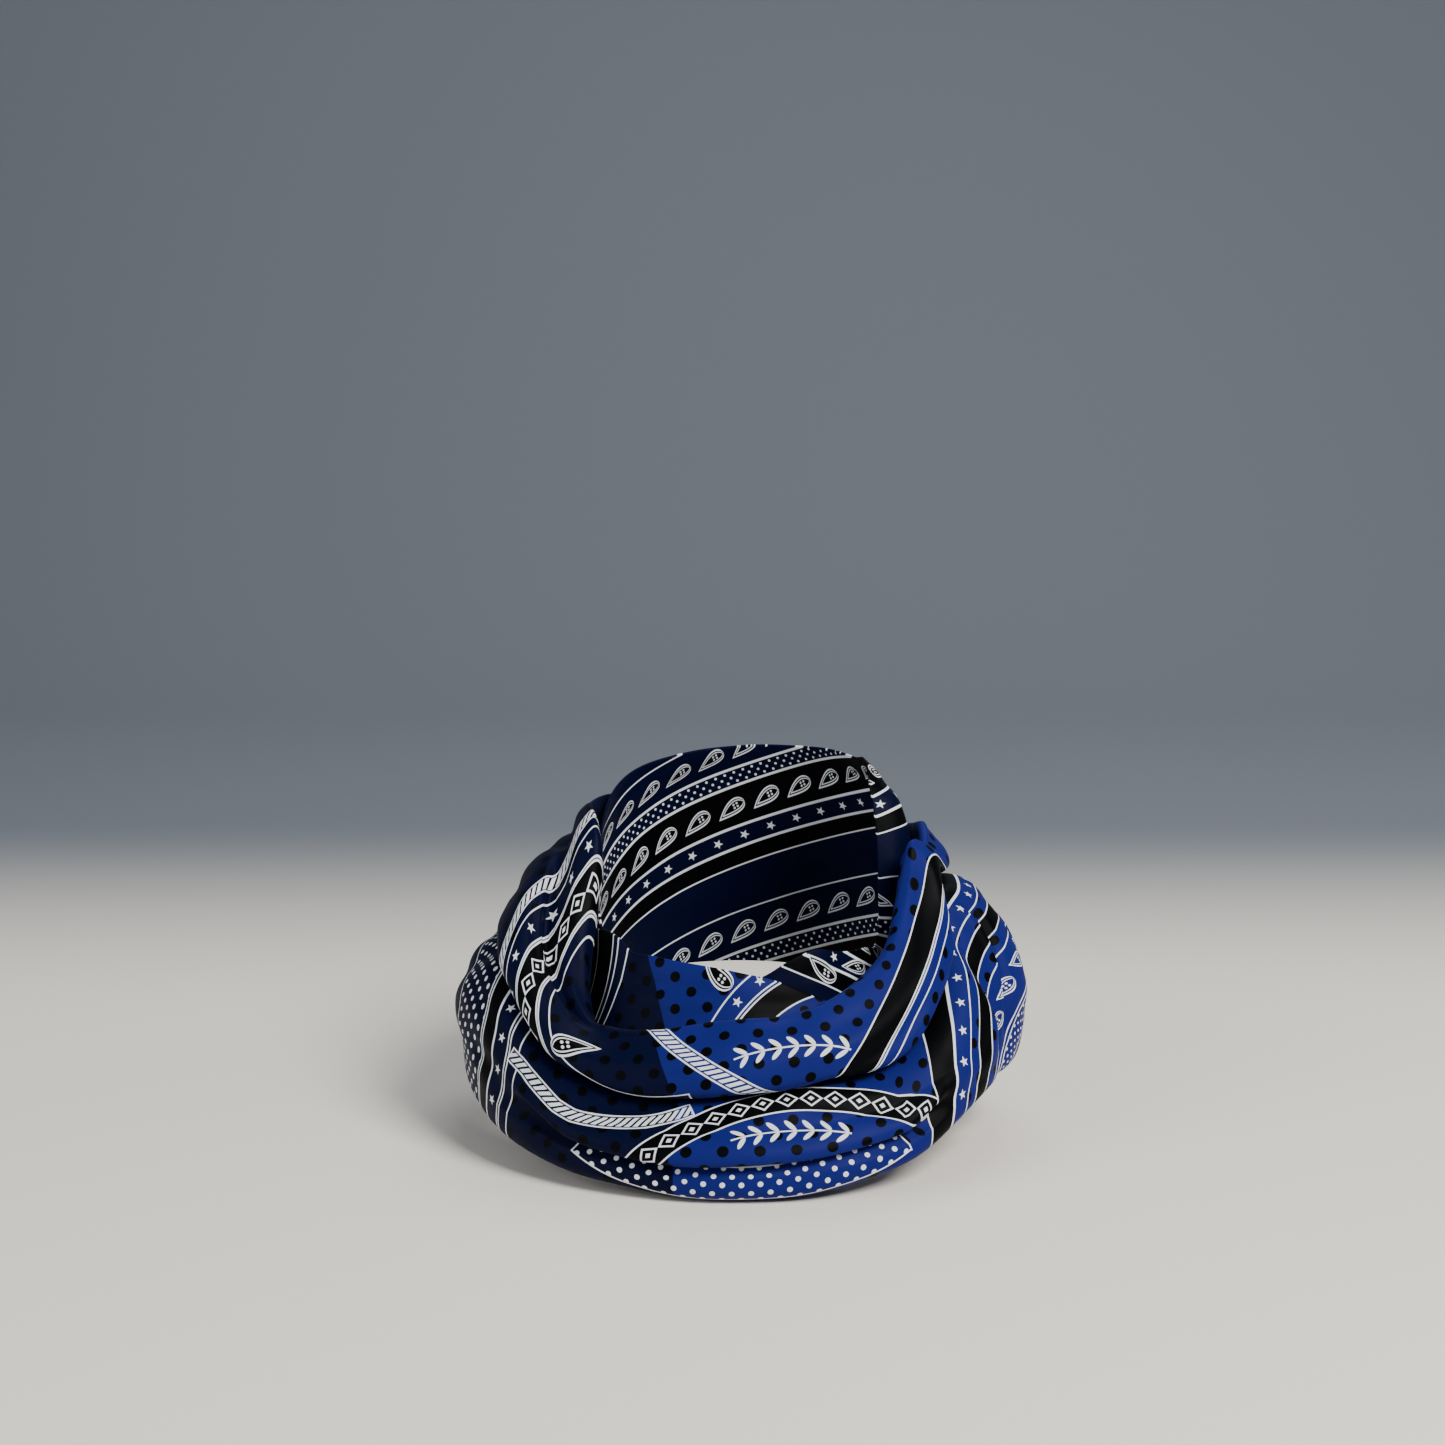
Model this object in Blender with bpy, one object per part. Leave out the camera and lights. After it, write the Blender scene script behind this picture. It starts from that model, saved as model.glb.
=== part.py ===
"""A square silk bandana worn as a cowl: folded on the bias into a band and wound round the neck.

Millimetres and degrees in the tables, metres in the meshes. +Z is up and -Y is the front.
An azimuth is counted round the neck's axis from the front, and +90 is the +X side.
A reach is the distance out from that axis, and a height is counted from the origin,
the centre of the neck opening at the level where the cowl sits on the shoulders.
Hidden lengths of cloth between two wraps are left out: a wrap ends where the next one covers it.
"""

import bpy
import numpy as np

MM = 0.001
CLOTH = 1.0
TURN = 360.0

# Stations round the neck stand closer together at the front, where the folds are deepest
COLLAR_STATIONS = 56
COWL_STATIONS = 72
DRAPE_STATIONS = 88
INNER_FOLD_STATIONS = 30
FRONT_CROWDING = 0.40

# Collar: the wrap that hugs the neck. Low at the front, it stands up round the nape and falls outwards.
COLLAR = (
    "azimuth top_reach top_height brow_reach brow_height foot_reach foot_height",
    (-160, 61.0, 85, 65.0, 73, 70.4, -4),
    (-128, 58.8, 77, 61.0, 68, 65.6, -4),
    (-112, 57.0, 69, 58.4, 61, 62.0, -4),
    (-98, 55.4, 58, 56.9, 50, 59.4, -4),
    (-84, 55.2, 42, 56.6, 34, 57.4, -4),
    (-66, 55.0, 24, 56.8, 17, 58.0, -4),
    (-40, 55.0, 17, 57.0, 11, 58.0, -4),
    (-8, 55.0, 18, 57.0, 12, 58.0, -4),
    (9, 55.0, 21.5, 57.0, 15, 58.5, -2),
    (19, 55.0, 26.6, 57.5, 19, 60.0, 2),
    (31, 55.0, 29.8, 58.0, 22, 61.5, 5),
    (43, 55.0, 27.4, 58.0, 20, 61.5, 5),
    (58, 55.0, 26.0, 58.0, 19, 61.0, 5),
    (72, 54.6, 26.5, 58.0, 20, 61.6, 3),
    (79, 54.0, 37, 58.5, 31, 62.6, 0),
    (85, 52.6, 62, 59.0, 54, 65.0, -2),
    (92, 50.6, 80, 60.2, 72, 67.4, -3),
    (102, 49.8, 89, 61.4, 77.5, 69.2, -4),
    (120, 52.5, 89, 62.2, 75, 70.6, -4),
    (148, 58.0, 88, 64.0, 74, 71.6, -4),
)

# Inner fold: a second layer at the front, inside the cowl, whose right end dives under it.
INNER_FOLD = (
    "azimuth top_reach top_height foot_reach foot_height",
    (-80, 58.6, 28, 60.5, 6),
    (-71, 58.4, 30.7, 62.8, 4),
    (-59, 58.0, 32.4, 67.0, -1),
    (-52, 57.8, 31.5, 71.5, -6),
    (-45, 57.6, 27.6, 76.0, -9),
    (-37, 57.6, 27.6, 79.0, -13),
    (-27, 57.6, 27.1, 81.0, -15),
    (-11, 58.0, 25.8, 81.5, -16),
    (0, 58.4, 23.9, 81.5, -15),
    (12, 59.2, 21.0, 81.0, -13),
    (24, 61.4, 15.5, 79.0, -10),
    (36, 64.6, 9.5, 76.0, -7),
    (44, 67.0, 5.0, 74.4, -4),
)

# Cowl: the big loop that hangs at the front. A dip parts it in two soft rolls on the left.
COWL = (
    "azimuth ridge_reach ridge_height dip_reach dip_height crown_reach crown_height lip_reach lip_height",
    (-160, 73.5, 60, 78.0, 54, 83.5, 48, 90.0, 31),
    (-128, 65.8, 71, 72.0, 58, 79.5, 53, 91.5, 30),
    (-108, 60.6, 72.5, 68.2, 60, 77.0, 55, 92.0, 29),
    (-93, 57.2, 74.5, 66.6, 58.5, 75.4, 55, 92.0, 28),
    (-81, 56.0, 72.0, 68.5, 55, 77.5, 52, 93.5, 28),
    (-72, 56.8, 61, 73.0, 45, 82.0, 46, 95.5, 27),
    (-65, 61.5, 44, 78.5, 32.5, 87.5, 36, 98.0, 22.5),
    (-58, 67.5, 29, 82.5, 22.4, 91.5, 25, 99.5, 16),
    (-50, 74.5, 15.8, 85.0, 15, 94.0, 14.5, 101.5, 7),
    (-43, 79.0, 7.5, 86.5, 8, 94.5, 6.5, 102.0, -1.5),
    (-34, 81.5, 6.0, 88.0, 5, 94.5, 2, 101.5, -6.5),
    (-21, 82.5, 8.0, 88.5, 6.5, 94.0, 2, 100.0, -11),
    (-10, 82.0, 11.0, 88.0, 9, 93.5, 4, 99.0, -10),
    (0, 82.0, 13.3, 87.5, 11.5, 93.0, 6, 98.5, -8),
    (10, 81.5, 14.2, 87.0, 12.5, 92.5, 7.5, 98.0, -7.2),
    (20, 80.3, 17.0, 86.0, 15.5, 92.0, 10.5, 98.0, -4.5),
    (31, 77.7, 21.5, 84.0, 20.5, 90.5, 15.5, 98.5, -3),
    (41, 75.0, 28.0, 81.5, 27, 88.5, 22, 97.5, 3),
    (50, 72.0, 35.0, 78.0, 34.5, 84.5, 31, 95.0, 14.5),
    (57, 69.2, 42.5, 74.5, 42.5, 80.5, 39, 91.5, 22),
    (63, 67.2, 51.0, 72.0, 51, 77.5, 48, 88.0, 30),
    (69, 66.2, 63.0, 69.5, 63.5, 73.5, 61, 81.0, 46),
    (75, 66.6, 65.0, 69.3, 65, 72.5, 63, 78.0, 55),
    (83, 68.4, 60.5, 71.0, 60.5, 74.0, 58.5, 79.0, 52),
    (91, 69.6, 62.5, 72.5, 61.5, 75.5, 59, 80.5, 51),
    (100, 70.2, 65.3, 73.4, 63.5, 76.6, 60, 82.0, 50),
    (112, 71.4, 62.0, 75.0, 59.5, 78.5, 55.5, 84.0, 45),
    (128, 73.0, 56.0, 76.5, 53, 80.5, 49, 86.5, 37),
    (155, 74.5, 54.0, 78.5, 50, 83.0, 45, 89.0, 32),
)

# Where the cowl bends, as reach and height from its guide lines. A slim stretch bends less.
COWL_RISE = (-2.0, -4.5)
COWL_OVER = (1.2, 1.0)
COWL_BROW = (1.4, 1.8)
COWL_UNDER_LIP = ((-2.4, -2.0), (-6.0, -0.4))
FULL_COWL_WIDTH = 24.0
SLIMMEST_COWL = 0.35

# Root: where the cloth behind the ridge ends, down inside the wraps
COWL_ROOT = (
    "azimuth root_reach root_height",
    (-160, 75.0, 19),
    (-125, 68.0, 18),
    (-100, 64.0, 17),
    (-85, 62.5, 15),
    (-72, 64.5, 12),
    (-60, 69.0, 4),
    (-50, 76.0, -6),
    (-40, 80.5, -14),
    (-20, 83.0, -21),
    (0, 83.0, -20),
    (20, 81.5, -17),
    (40, 77.0, -9),
    (52, 74.0, 2),
    (62, 71.0, 16),
    (72, 69.0, 34),
    (84, 70.0, 40),
    (100, 71.5, 38),
    (125, 74.5, 28),
    (160, 76.0, 21),
)

# Drape: the outer wrap. It lies over the shoulders and its lower edge turns under.
DRAPE = (
    "azimuth crest_reach crest_height brow_reach brow_height"
    " belly_reach belly_height tier_reach tier_height hem_reach hem_height",
    (-160, 86.0, 27.5, 94.0, 23, 98.5, 14, 99.5, 3, 97.0, -4),
    (-128, 87.0, 26.6, 96.5, 21, 103.0, 9, 104.0, -4, 100.5, -11),
    (-100, 87.5, 25.6, 99.5, 19, 107.5, 5, 107.0, -10, 103.5, -20),
    (-85, 88.0, 25.2, 101.0, 18, 108.8, 3, 107.5, -11, 104.5, -24),
    (-70, 91.0, 22.4, 102.0, 15, 108.0, -1, 109.0, -16, 106.5, -28.5),
    (-57, 93.5, 10.8, 103.5, 5.5, 108.0, -7, 110.5, -21.5, 109.0, -31.5),
    (-45, 95.0, -3.6, 104.0, -7, 107.0, -12, 111.0, -27, 110.5, -35.5),
    (-32, 94.5, -11.5, 102.5, -15, 105.5, -18.5, 111.0, -33, 110.8, -39.5),
    (-17, 93.0, -14.2, 101.0, -18.5, 104.6, -22, 111.2, -37, 110.8, -42.3),
    (0, 91.5, -11.9, 100.5, -16.2, 104.4, -21.5, 111.2, -36.5, 110.6, -42.8),
    (15, 91.0, -9.8, 100.0, -15, 104.4, -20, 111.2, -35, 110.8, -41.3),
    (26, 91.0, -9.0, 100.0, -13, 104.6, -18, 111.2, -32.5, 110.8, -38),
    (36, 91.0, -5.0, 100.5, -9, 105.3, -14, 110.8, -28, 110.6, -33.3),
    (45, 90.5, 2.8, 101.0, -1, 106.5, -8, 110.4, -20.5, 110.0, -27),
    (54, 87.5, 13.5, 99.0, 10, 107.0, -2, 110.0, -14, 109.3, -21),
    (64, 82.0, 29.5, 94.5, 24, 107.3, 4, 109.6, -9, 108.0, -17.5),
    (74, 77.5, 45.5, 89.5, 40, 108.8, 9, 110.0, -7, 106.5, -18.5),
    (84, 78.0, 46.0, 88.0, 43.5, 109.4, 11, 109.6, -5, 104.5, -20.5),
    (98, 79.5, 45.0, 88.5, 42.5, 108.2, 13, 108.0, -4, 101.5, -18.5),
    (112, 81.5, 41.0, 90.0, 38.5, 105.0, 15, 105.5, -1, 100.5, -13),
    (130, 83.5, 32.5, 92.5, 30.5, 102.5, 15, 103.5, 2, 99.0, -7.5),
    (158, 85.5, 27.0, 94.0, 25, 99.5, 15, 101.0, 4, 98.0, -3.5),
)

# Where the drape starts under the cowl and turns in under its hem, from its guide lines
DRAPE_ROOT = (-5.0, -1.5)
DRAPE_UNDER_HEM = ((-6.0, -3.6), (-15.0, -2.6))
PLEAT_STARTS_AT = 8

# Pleat: between the belly and the tier the outer wrap doubles back under itself at the front.
PLEAT_LIFT = 3.2
PLEAT_SHIFT = 0.88
PLEAT_ROUNDING = 0.50
PLEAT_SAMPLES = 13
PLEAT_STRENGTH = (
    "azimuth strength",
    (-180, 0.0),
    (-57, 0.0),
    (-49, 0.10),
    (-44.5, 0.35),
    (-41, 0.60),
    (-38, 0.80),
    (-34, 0.95),
    (-20, 1.0),
    (18, 1.0),
    (33, 0.90),
    (38, 0.42),
    (43, 0.10),
    (51, 0.0),
    (180, 0.0),
)

# Soft furrows that run down the wraps. The share is of the way down the section, the depth inwards.
DRAPE_FURROWS = (
    "azimuth_above azimuth_below share_above share_below inwards downwards width_before width_after",
    (68.0, 65.0, 0.16, 0.86, 6.5, 2.6, 3.2, 8.0),
    (-176.0, 178.0, -0.20, 1.30, 3.2, 0.8, 9.0, 9.0),
    (146.0, 138.0, 0.20, 1.30, 2.4, 0.6, 7.0, 10.0),
    (-140.0, -128.0, 0.20, 1.30, 2.4, 0.6, 10.0, 7.0),
    (-97.0, -90.0, 0.30, 0.90, 1.6, 0.4, 6.0, 8.0),
)
COWL_FURROWS = (
    "azimuth_above azimuth_below share_above share_below inwards downwards width_before width_after",
    (-178.0, 176.0, -0.20, 1.30, 2.4, 1.0, 9.0, 9.0),
    (150.0, 142.0, 0.30, 1.30, 1.5, 0.5, 7.0, 9.0),
    (-146.0, -134.0, 0.30, 1.30, 1.8, 0.5, 9.0, 7.0),
)


def column_readers(table):
    """A function of the azimuth for each named column: a smooth closed curve through its rows."""
    names, rows = table[0].split(), np.array(table[1:], float)
    return {name: closed_curve(rows[:, 0], rows[:, i]) for i, name in enumerate(names) if i}


def closed_curve(knots, values):
    """Cubic Hermite through the rows, whose slopes are the weighted mean of the spans beside them."""
    x = np.concatenate([knots - TURN, knots, knots + TURN])
    v = np.tile(values, 3)
    span = np.diff(x)
    rate = np.diff(v) / span
    slope = np.zeros_like(v)
    slope[1:-1] = (rate[:-1] * span[1:] + rate[1:] * span[:-1]) / (span[1:] + span[:-1])

    def read(at):
        i = np.clip(np.searchsorted(x, at, side="right") - 1, 0, len(x) - 2)
        return hermite((at - x[i]) / span[i], v[i], v[i + 1], span[i] * slope[i], span[i] * slope[i + 1])

    return read


def hermite(t, start, end, leave, arrive):
    """The cubic from start to end that leaves and arrives at these slopes, for t from 0 to 1."""
    return (
        start * (1 + 2 * t) * (1 - t) ** 2
        + end * t * t * (3 - 2 * t)
        + leave * t * (1 - t) ** 2
        - arrive * t * t * (1 - t)
    )


def smooth_section(guides, shares):
    """Points of every section, as an array of station, place along the section, and reach or height.

    Guides are arrays of (station, reach and height). For each span between two of them, shares holds
    how far along it the points stand: a row of shares, or one row a station.
    """
    points = np.stack(guides, axis=1)
    chord = np.linalg.norm(np.diff(points, axis=1), axis=2, keepdims=True) ** 0.75
    rate = np.diff(points, axis=1) / chord
    slope = np.empty_like(points)
    slope[:, 1:-1] = (rate[:, :-1] * chord[:, 1:] + rate[:, 1:] * chord[:, :-1]) / (chord[:, 1:] + chord[:, :-1])
    slope[:, 0], slope[:, -1] = rate[:, 0], rate[:, -1]
    spans = []
    for k, share in enumerate(shares):
        t = np.broadcast_to(share, (len(points), np.shape(share)[-1]))[..., None]
        start, end, length = points[:, k, None], points[:, k + 1, None], chord[:, k, None]
        spans.append(hermite(t, start, end, length * slope[:, k, None], length * slope[:, k + 1, None]))
    spans.append(points[:, -1:])
    return np.concatenate(spans, axis=1)


def even(*counts):
    """Evenly spaced shares for each span, without its far end."""
    return [np.arange(n) / n for n in counts]


def around_neck(azimuths, sections):
    """Points in millimetres of sections that stand at these azimuths."""
    turn = np.radians(azimuths)[:, None]
    reach, height = sections[..., 0], sections[..., 1]
    return np.stack([reach * np.sin(turn), -reach * np.cos(turn), height], axis=-1)


def surface_normals(points, closed):
    """Unit normals of a grid of points, square to the mean directions of its rows and columns."""
    wrapped = np.concatenate([points[-1:], points, points[:1]]) if closed else points
    along = mean_direction(wrapped)[1:-1] if closed else mean_direction(wrapped)
    across = mean_direction(points.swapaxes(0, 1)).swapaxes(0, 1)
    return unit(np.cross(across, along))


def mean_direction(points):
    """The mean of the directions before and after each point, along the first axis."""
    step = unit(np.diff(points, axis=0))
    return np.concatenate([step[:1], 0.5 * (step[1:] + step[:-1]), step[-1:]])


def unit(vectors):
    return vectors / np.linalg.norm(vectors, axis=-1, keepdims=True)


def sink_furrows(azimuths, sections, table):
    """Move sections inwards and down by the furrows: each falls off as a bell beside its line."""
    share = np.linspace(0.0, 1.0, sections.shape[1])[None, :]
    moved = sections.copy()
    for above, below, start, stop, inwards, downwards, before, after in table[1:]:
        turn = (below - above + TURN / 2) % TURN - TURN / 2
        off = (azimuths[:, None] - above - turn * share + TURN / 2) % TURN - TURN / 2
        bell = np.exp(-((off / np.where(off < 0, before, after)) ** 2))
        bell *= ramp(start - 0.12, start + 0.12, share) * ramp(stop + 0.08, stop - 0.08, share)
        moved -= bell[..., None] * [inwards, downwards]
    return moved


def ramp(low, high, at):
    """A smooth step from 0 at low to 1 at high."""
    t = np.clip((at - low) / (high - low), 0.0, 1.0)
    return t * t * (3 - 2 * t)


def cloth_wall(name, points, colour, closed=True):
    """One closed solid: the grid is its outer face, and the inner face lies one cloth thickness in."""
    inner = points - CLOTH * surface_normals(points, closed)
    stations, count = points.shape[:2]
    vertices = np.concatenate([points.reshape(-1, 3), inner.reshape(-1, 3)]) * MM
    outer_id = np.arange(stations * count).reshape(stations, count)
    if closed:
        outer_id = np.vstack([outer_id, outer_id[:1]])
    inner_id = outer_id + stations * count
    faces = [sheet_faces(outer_id), sheet_faces(inner_id)[:, ::-1]]
    faces += [edge_faces(inner_id[:, 0], outer_id[:, 0]), edge_faces(outer_id[:, -1], inner_id[:, -1])]
    if not closed:
        faces += [edge_faces(outer_id[0], inner_id[0]), edge_faces(inner_id[-1], outer_id[-1])]
    mesh = bpy.data.meshes.new(name)
    mesh.from_pydata(vertices.tolist(), [], np.concatenate(faces).tolist())
    mesh.shade_smooth()
    obj = bpy.data.objects.new(name, mesh)
    obj.data.materials.append(silk(name + "_silk", colour))
    bpy.context.scene.collection.objects.link(obj)
    return obj


def sheet_faces(ids):
    """Faces of a grid, turned so that they look along the grid's normals."""
    corners = [ids[:-1, :-1], ids[:-1, 1:], ids[1:, 1:], ids[1:, :-1]]
    return np.stack(corners, axis=-1).reshape(-1, 4)


def edge_faces(first, second):
    """Faces between two rows of points."""
    return np.stack([first[:-1], second[:-1], second[1:], first[1:]], axis=-1)


def silk(name, colour):
    """The twill's ground colour, with a soft sheen."""
    material = bpy.data.materials.new(name)
    material.use_nodes = True
    shader = material.node_tree.nodes["Principled BSDF"]
    shader.inputs["Base Color"].default_value = (*colour, 1.0)
    shader.inputs["Roughness"].default_value = 0.45
    shader.inputs["Metallic"].default_value = 0.0
    return material


def ring_azimuths(count):
    """Stations all round the neck, closest together at the front."""
    even_turn = np.arange(count) * TURN / count - TURN / 2
    return even_turn - np.degrees(FRONT_CROWDING) * np.sin(np.radians(even_turn))


def pair(columns, name, azimuths):
    """Reach and height of one guide line at these azimuths."""
    return np.stack([columns[name + "_reach"](azimuths), columns[name + "_height"](azimuths)], axis=-1)


def collar_points(azimuths):
    """From the top edge against the neck, over the brow and down and out to the foot."""
    columns = column_readers(COLLAR)
    guides = [pair(columns, name, azimuths) for name in ("top", "brow", "foot")]
    return around_neck(azimuths, smooth_section(guides, even(3, 4)))


def inner_fold_points(azimuths):
    """From the top edge down the slack face that the cowl covers."""
    columns = column_readers(INNER_FOLD)
    top, foot = [pair(columns, name, azimuths) for name in ("top", "foot")]
    slack = 0.5 * (top + foot) + [-0.6, -0.6]
    return around_neck(azimuths, smooth_section([top, slack, foot], even(3, 3)))


def cowl_points(azimuths):
    """From a root behind the ridge, over ridge, dip and crown, to the lip and back under it."""
    columns = column_readers(COWL)
    ridge, dip, crown, lip = [pair(columns, name, azimuths) for name in ("ridge", "dip", "crown", "lip")]
    width = np.linalg.norm(lip - ridge, axis=1, keepdims=True)
    size = np.clip(width / FULL_COWL_WIDTH, SLIMMEST_COWL, 1.0)
    root = pair(column_readers(COWL_ROOT), "root", azimuths)
    rise = ridge + COWL_RISE * size
    over = 0.7 * ridge + 0.3 * dip + COWL_OVER * size
    brow = 0.45 * crown + 0.55 * lip + COWL_BROW * size
    under = [lip + step for step in np.array(COWL_UNDER_LIP)]
    guides = [root, rise, ridge, over, dip, crown, brow, lip, *under]
    sections = smooth_section(guides, even(2, 2, 2, 2, 3, 2, 2, 2, 1))
    return around_neck(azimuths, sink_furrows(azimuths, sections, COWL_FURROWS))


def drape_points(azimuths):
    """From a root under the cowl's lip, over brow, belly, pleat and hem, and back underneath."""
    columns = column_readers(DRAPE)
    names = ("crest", "brow", "belly", "tier", "hem")
    crest, brow, belly, tier, hem = [pair(columns, name, azimuths) for name in names]
    under = [hem + step for step in np.array(DRAPE_UNDER_HEM)]
    guides = [crest + DRAPE_ROOT, crest, brow, belly, tier, hem, *under]
    strength = np.interp(azimuths, *np.array(PLEAT_STRENGTH[1:]).T)[:, None]
    swing = np.linspace(-1.0, 1.0, PLEAT_SAMPLES + 1)[None, :-1]
    share = 0.5 + 0.5 * (swing - PLEAT_SHIFT * strength * np.sin(np.pi * swing))
    sections = smooth_section(guides, even(2, 3, 3) + [share] + even(2, 2, 2))
    outwards = unit((tier - belly) @ np.array([[0.0, 1.0], [-1.0, 0.0]]))[:, None]
    rounding = PLEAT_ROUNDING * ramp(0.2, 0.8, strength)
    wave = np.sin(np.pi * swing) - rounding * np.sin(2 * np.pi * swing)
    lift = -PLEAT_LIFT * np.sin(np.pi / 2 * np.minimum(1.7 * strength, 1.0)) * wave / (1.0 + 0.5 * rounding)
    sections[:, PLEAT_STARTS_AT : PLEAT_STARTS_AT + PLEAT_SAMPLES] += lift[..., None] * outwards
    return around_neck(azimuths, sink_furrows(azimuths, sections, DRAPE_FURROWS))


def build():
    """The wraps, from the neck outwards."""
    for obj in list(bpy.data.objects):
        bpy.data.objects.remove(obj)
    cloth_wall("collar", collar_points(ring_azimuths(COLLAR_STATIONS)), (0.01, 0.02, 0.12))
    arc = np.linspace(INNER_FOLD[1][0], INNER_FOLD[-1][0], INNER_FOLD_STATIONS)
    cloth_wall("inner_fold", inner_fold_points(arc), (0.01, 0.06, 0.45), closed=False)
    cloth_wall("cowl", cowl_points(ring_azimuths(COWL_STATIONS)), (0.01, 0.06, 0.45))
    cloth_wall("drape", drape_points(ring_azimuths(DRAPE_STATIONS)), (0.01, 0.04, 0.30))


build()
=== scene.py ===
"""The looks of a square silk bandana that is worn as a cowl: fine cloth, its creases and its print.

Tables are in millimetres and degrees, meshes in metres. +Z is up and -Y is the front.
An azimuth is counted round the opening's axis from the front, and +90 is the +X side.
Each wrap is a surface over the azimuth and the way down its section, as the part's own wraps are.
Its cloth place is where each point lies when the wrap is laid flat: the print and the creases use it.
"""

import bpy
import numpy as np
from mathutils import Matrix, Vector


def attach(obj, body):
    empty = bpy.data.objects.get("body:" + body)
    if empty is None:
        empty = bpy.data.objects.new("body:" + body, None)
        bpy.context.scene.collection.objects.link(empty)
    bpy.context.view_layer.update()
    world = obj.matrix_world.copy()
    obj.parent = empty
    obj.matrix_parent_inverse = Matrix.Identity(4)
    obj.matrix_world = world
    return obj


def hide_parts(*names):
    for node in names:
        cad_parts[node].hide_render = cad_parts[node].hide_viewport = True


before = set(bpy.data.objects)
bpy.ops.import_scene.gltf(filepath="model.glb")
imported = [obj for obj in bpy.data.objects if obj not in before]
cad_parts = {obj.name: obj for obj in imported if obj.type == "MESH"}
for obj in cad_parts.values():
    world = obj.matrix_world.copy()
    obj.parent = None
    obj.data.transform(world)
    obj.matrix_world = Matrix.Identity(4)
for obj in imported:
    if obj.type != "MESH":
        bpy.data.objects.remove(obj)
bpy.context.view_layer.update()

MM = 0.001
CLOTH = 1.0
TURN = 360.0
FRONT_CROWDING = 0.40

# Guide lines: each row has an azimuth, and then the reach and height of each line of the wrap there.

# Collar: the wrap round the opening. Low at the front, it stands up at the back and falls outwards.
# Lines: top, brow and foot
COLLAR = (
    (-160, 61, 85, 65, 73, 70.4, -4),
    (-128, 58.8, 77, 61, 68, 65.6, -4),
    (-112, 57, 69, 58.4, 61, 62, -4),
    (-98, 55.4, 58, 56.9, 50, 59.4, -4),
    (-84, 55.2, 42, 56.6, 34, 57.4, -4),
    (-66, 55, 24, 56.8, 17, 58, -4),
    (-40, 55, 17, 57, 11, 58, -4),
    (-8, 55, 18, 57, 12, 58, -4),
    (9, 55, 21.5, 57, 15, 58.5, -2),
    (19, 55, 26.6, 57.5, 19, 60, 2),
    (31, 55, 29.8, 58, 22, 61.5, 5),
    (43, 55, 27.4, 58, 20, 61.5, 5),
    (58, 55, 26, 58, 19, 61, 5),
    (72, 54.6, 26.5, 58, 20, 61.6, 3),
    (79, 54, 37, 58.5, 31, 62.6, 0),
    (85, 52.6, 62, 59, 54, 65, -2),
    (92, 50.6, 80, 60.2, 72, 67.4, -3),
    (102, 49.8, 89, 61.4, 77.5, 69.2, -4),
    (120, 52.5, 89, 62.2, 75, 70.6, -4),
    (148, 58, 88, 64, 74, 71.6, -4),
)

# Inner fold: a second layer at the front, inside the cowl, whose right end dives under it.
# Lines: top and foot
INNER_FOLD = (
    (-80, 58.6, 28, 60.5, 6),
    (-71, 58.4, 30.7, 62.8, 4),
    (-59, 58, 32.4, 67, -1),
    (-52, 57.8, 31.5, 71.5, -6),
    (-45, 57.6, 27.6, 76, -9),
    (-37, 57.6, 27.6, 79, -13),
    (-27, 57.6, 27.1, 81, -15),
    (-11, 58, 25.8, 81.5, -16),
    (0, 58.4, 23.9, 81.5, -15),
    (12, 59.2, 21, 81, -13),
    (24, 61.4, 15.5, 79, -10),
    (36, 64.6, 9.5, 76, -7),
    (44, 67, 5, 74.4, -4),
)
INNER_FOLD_SLACK = (-0.6, -0.6)

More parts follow.
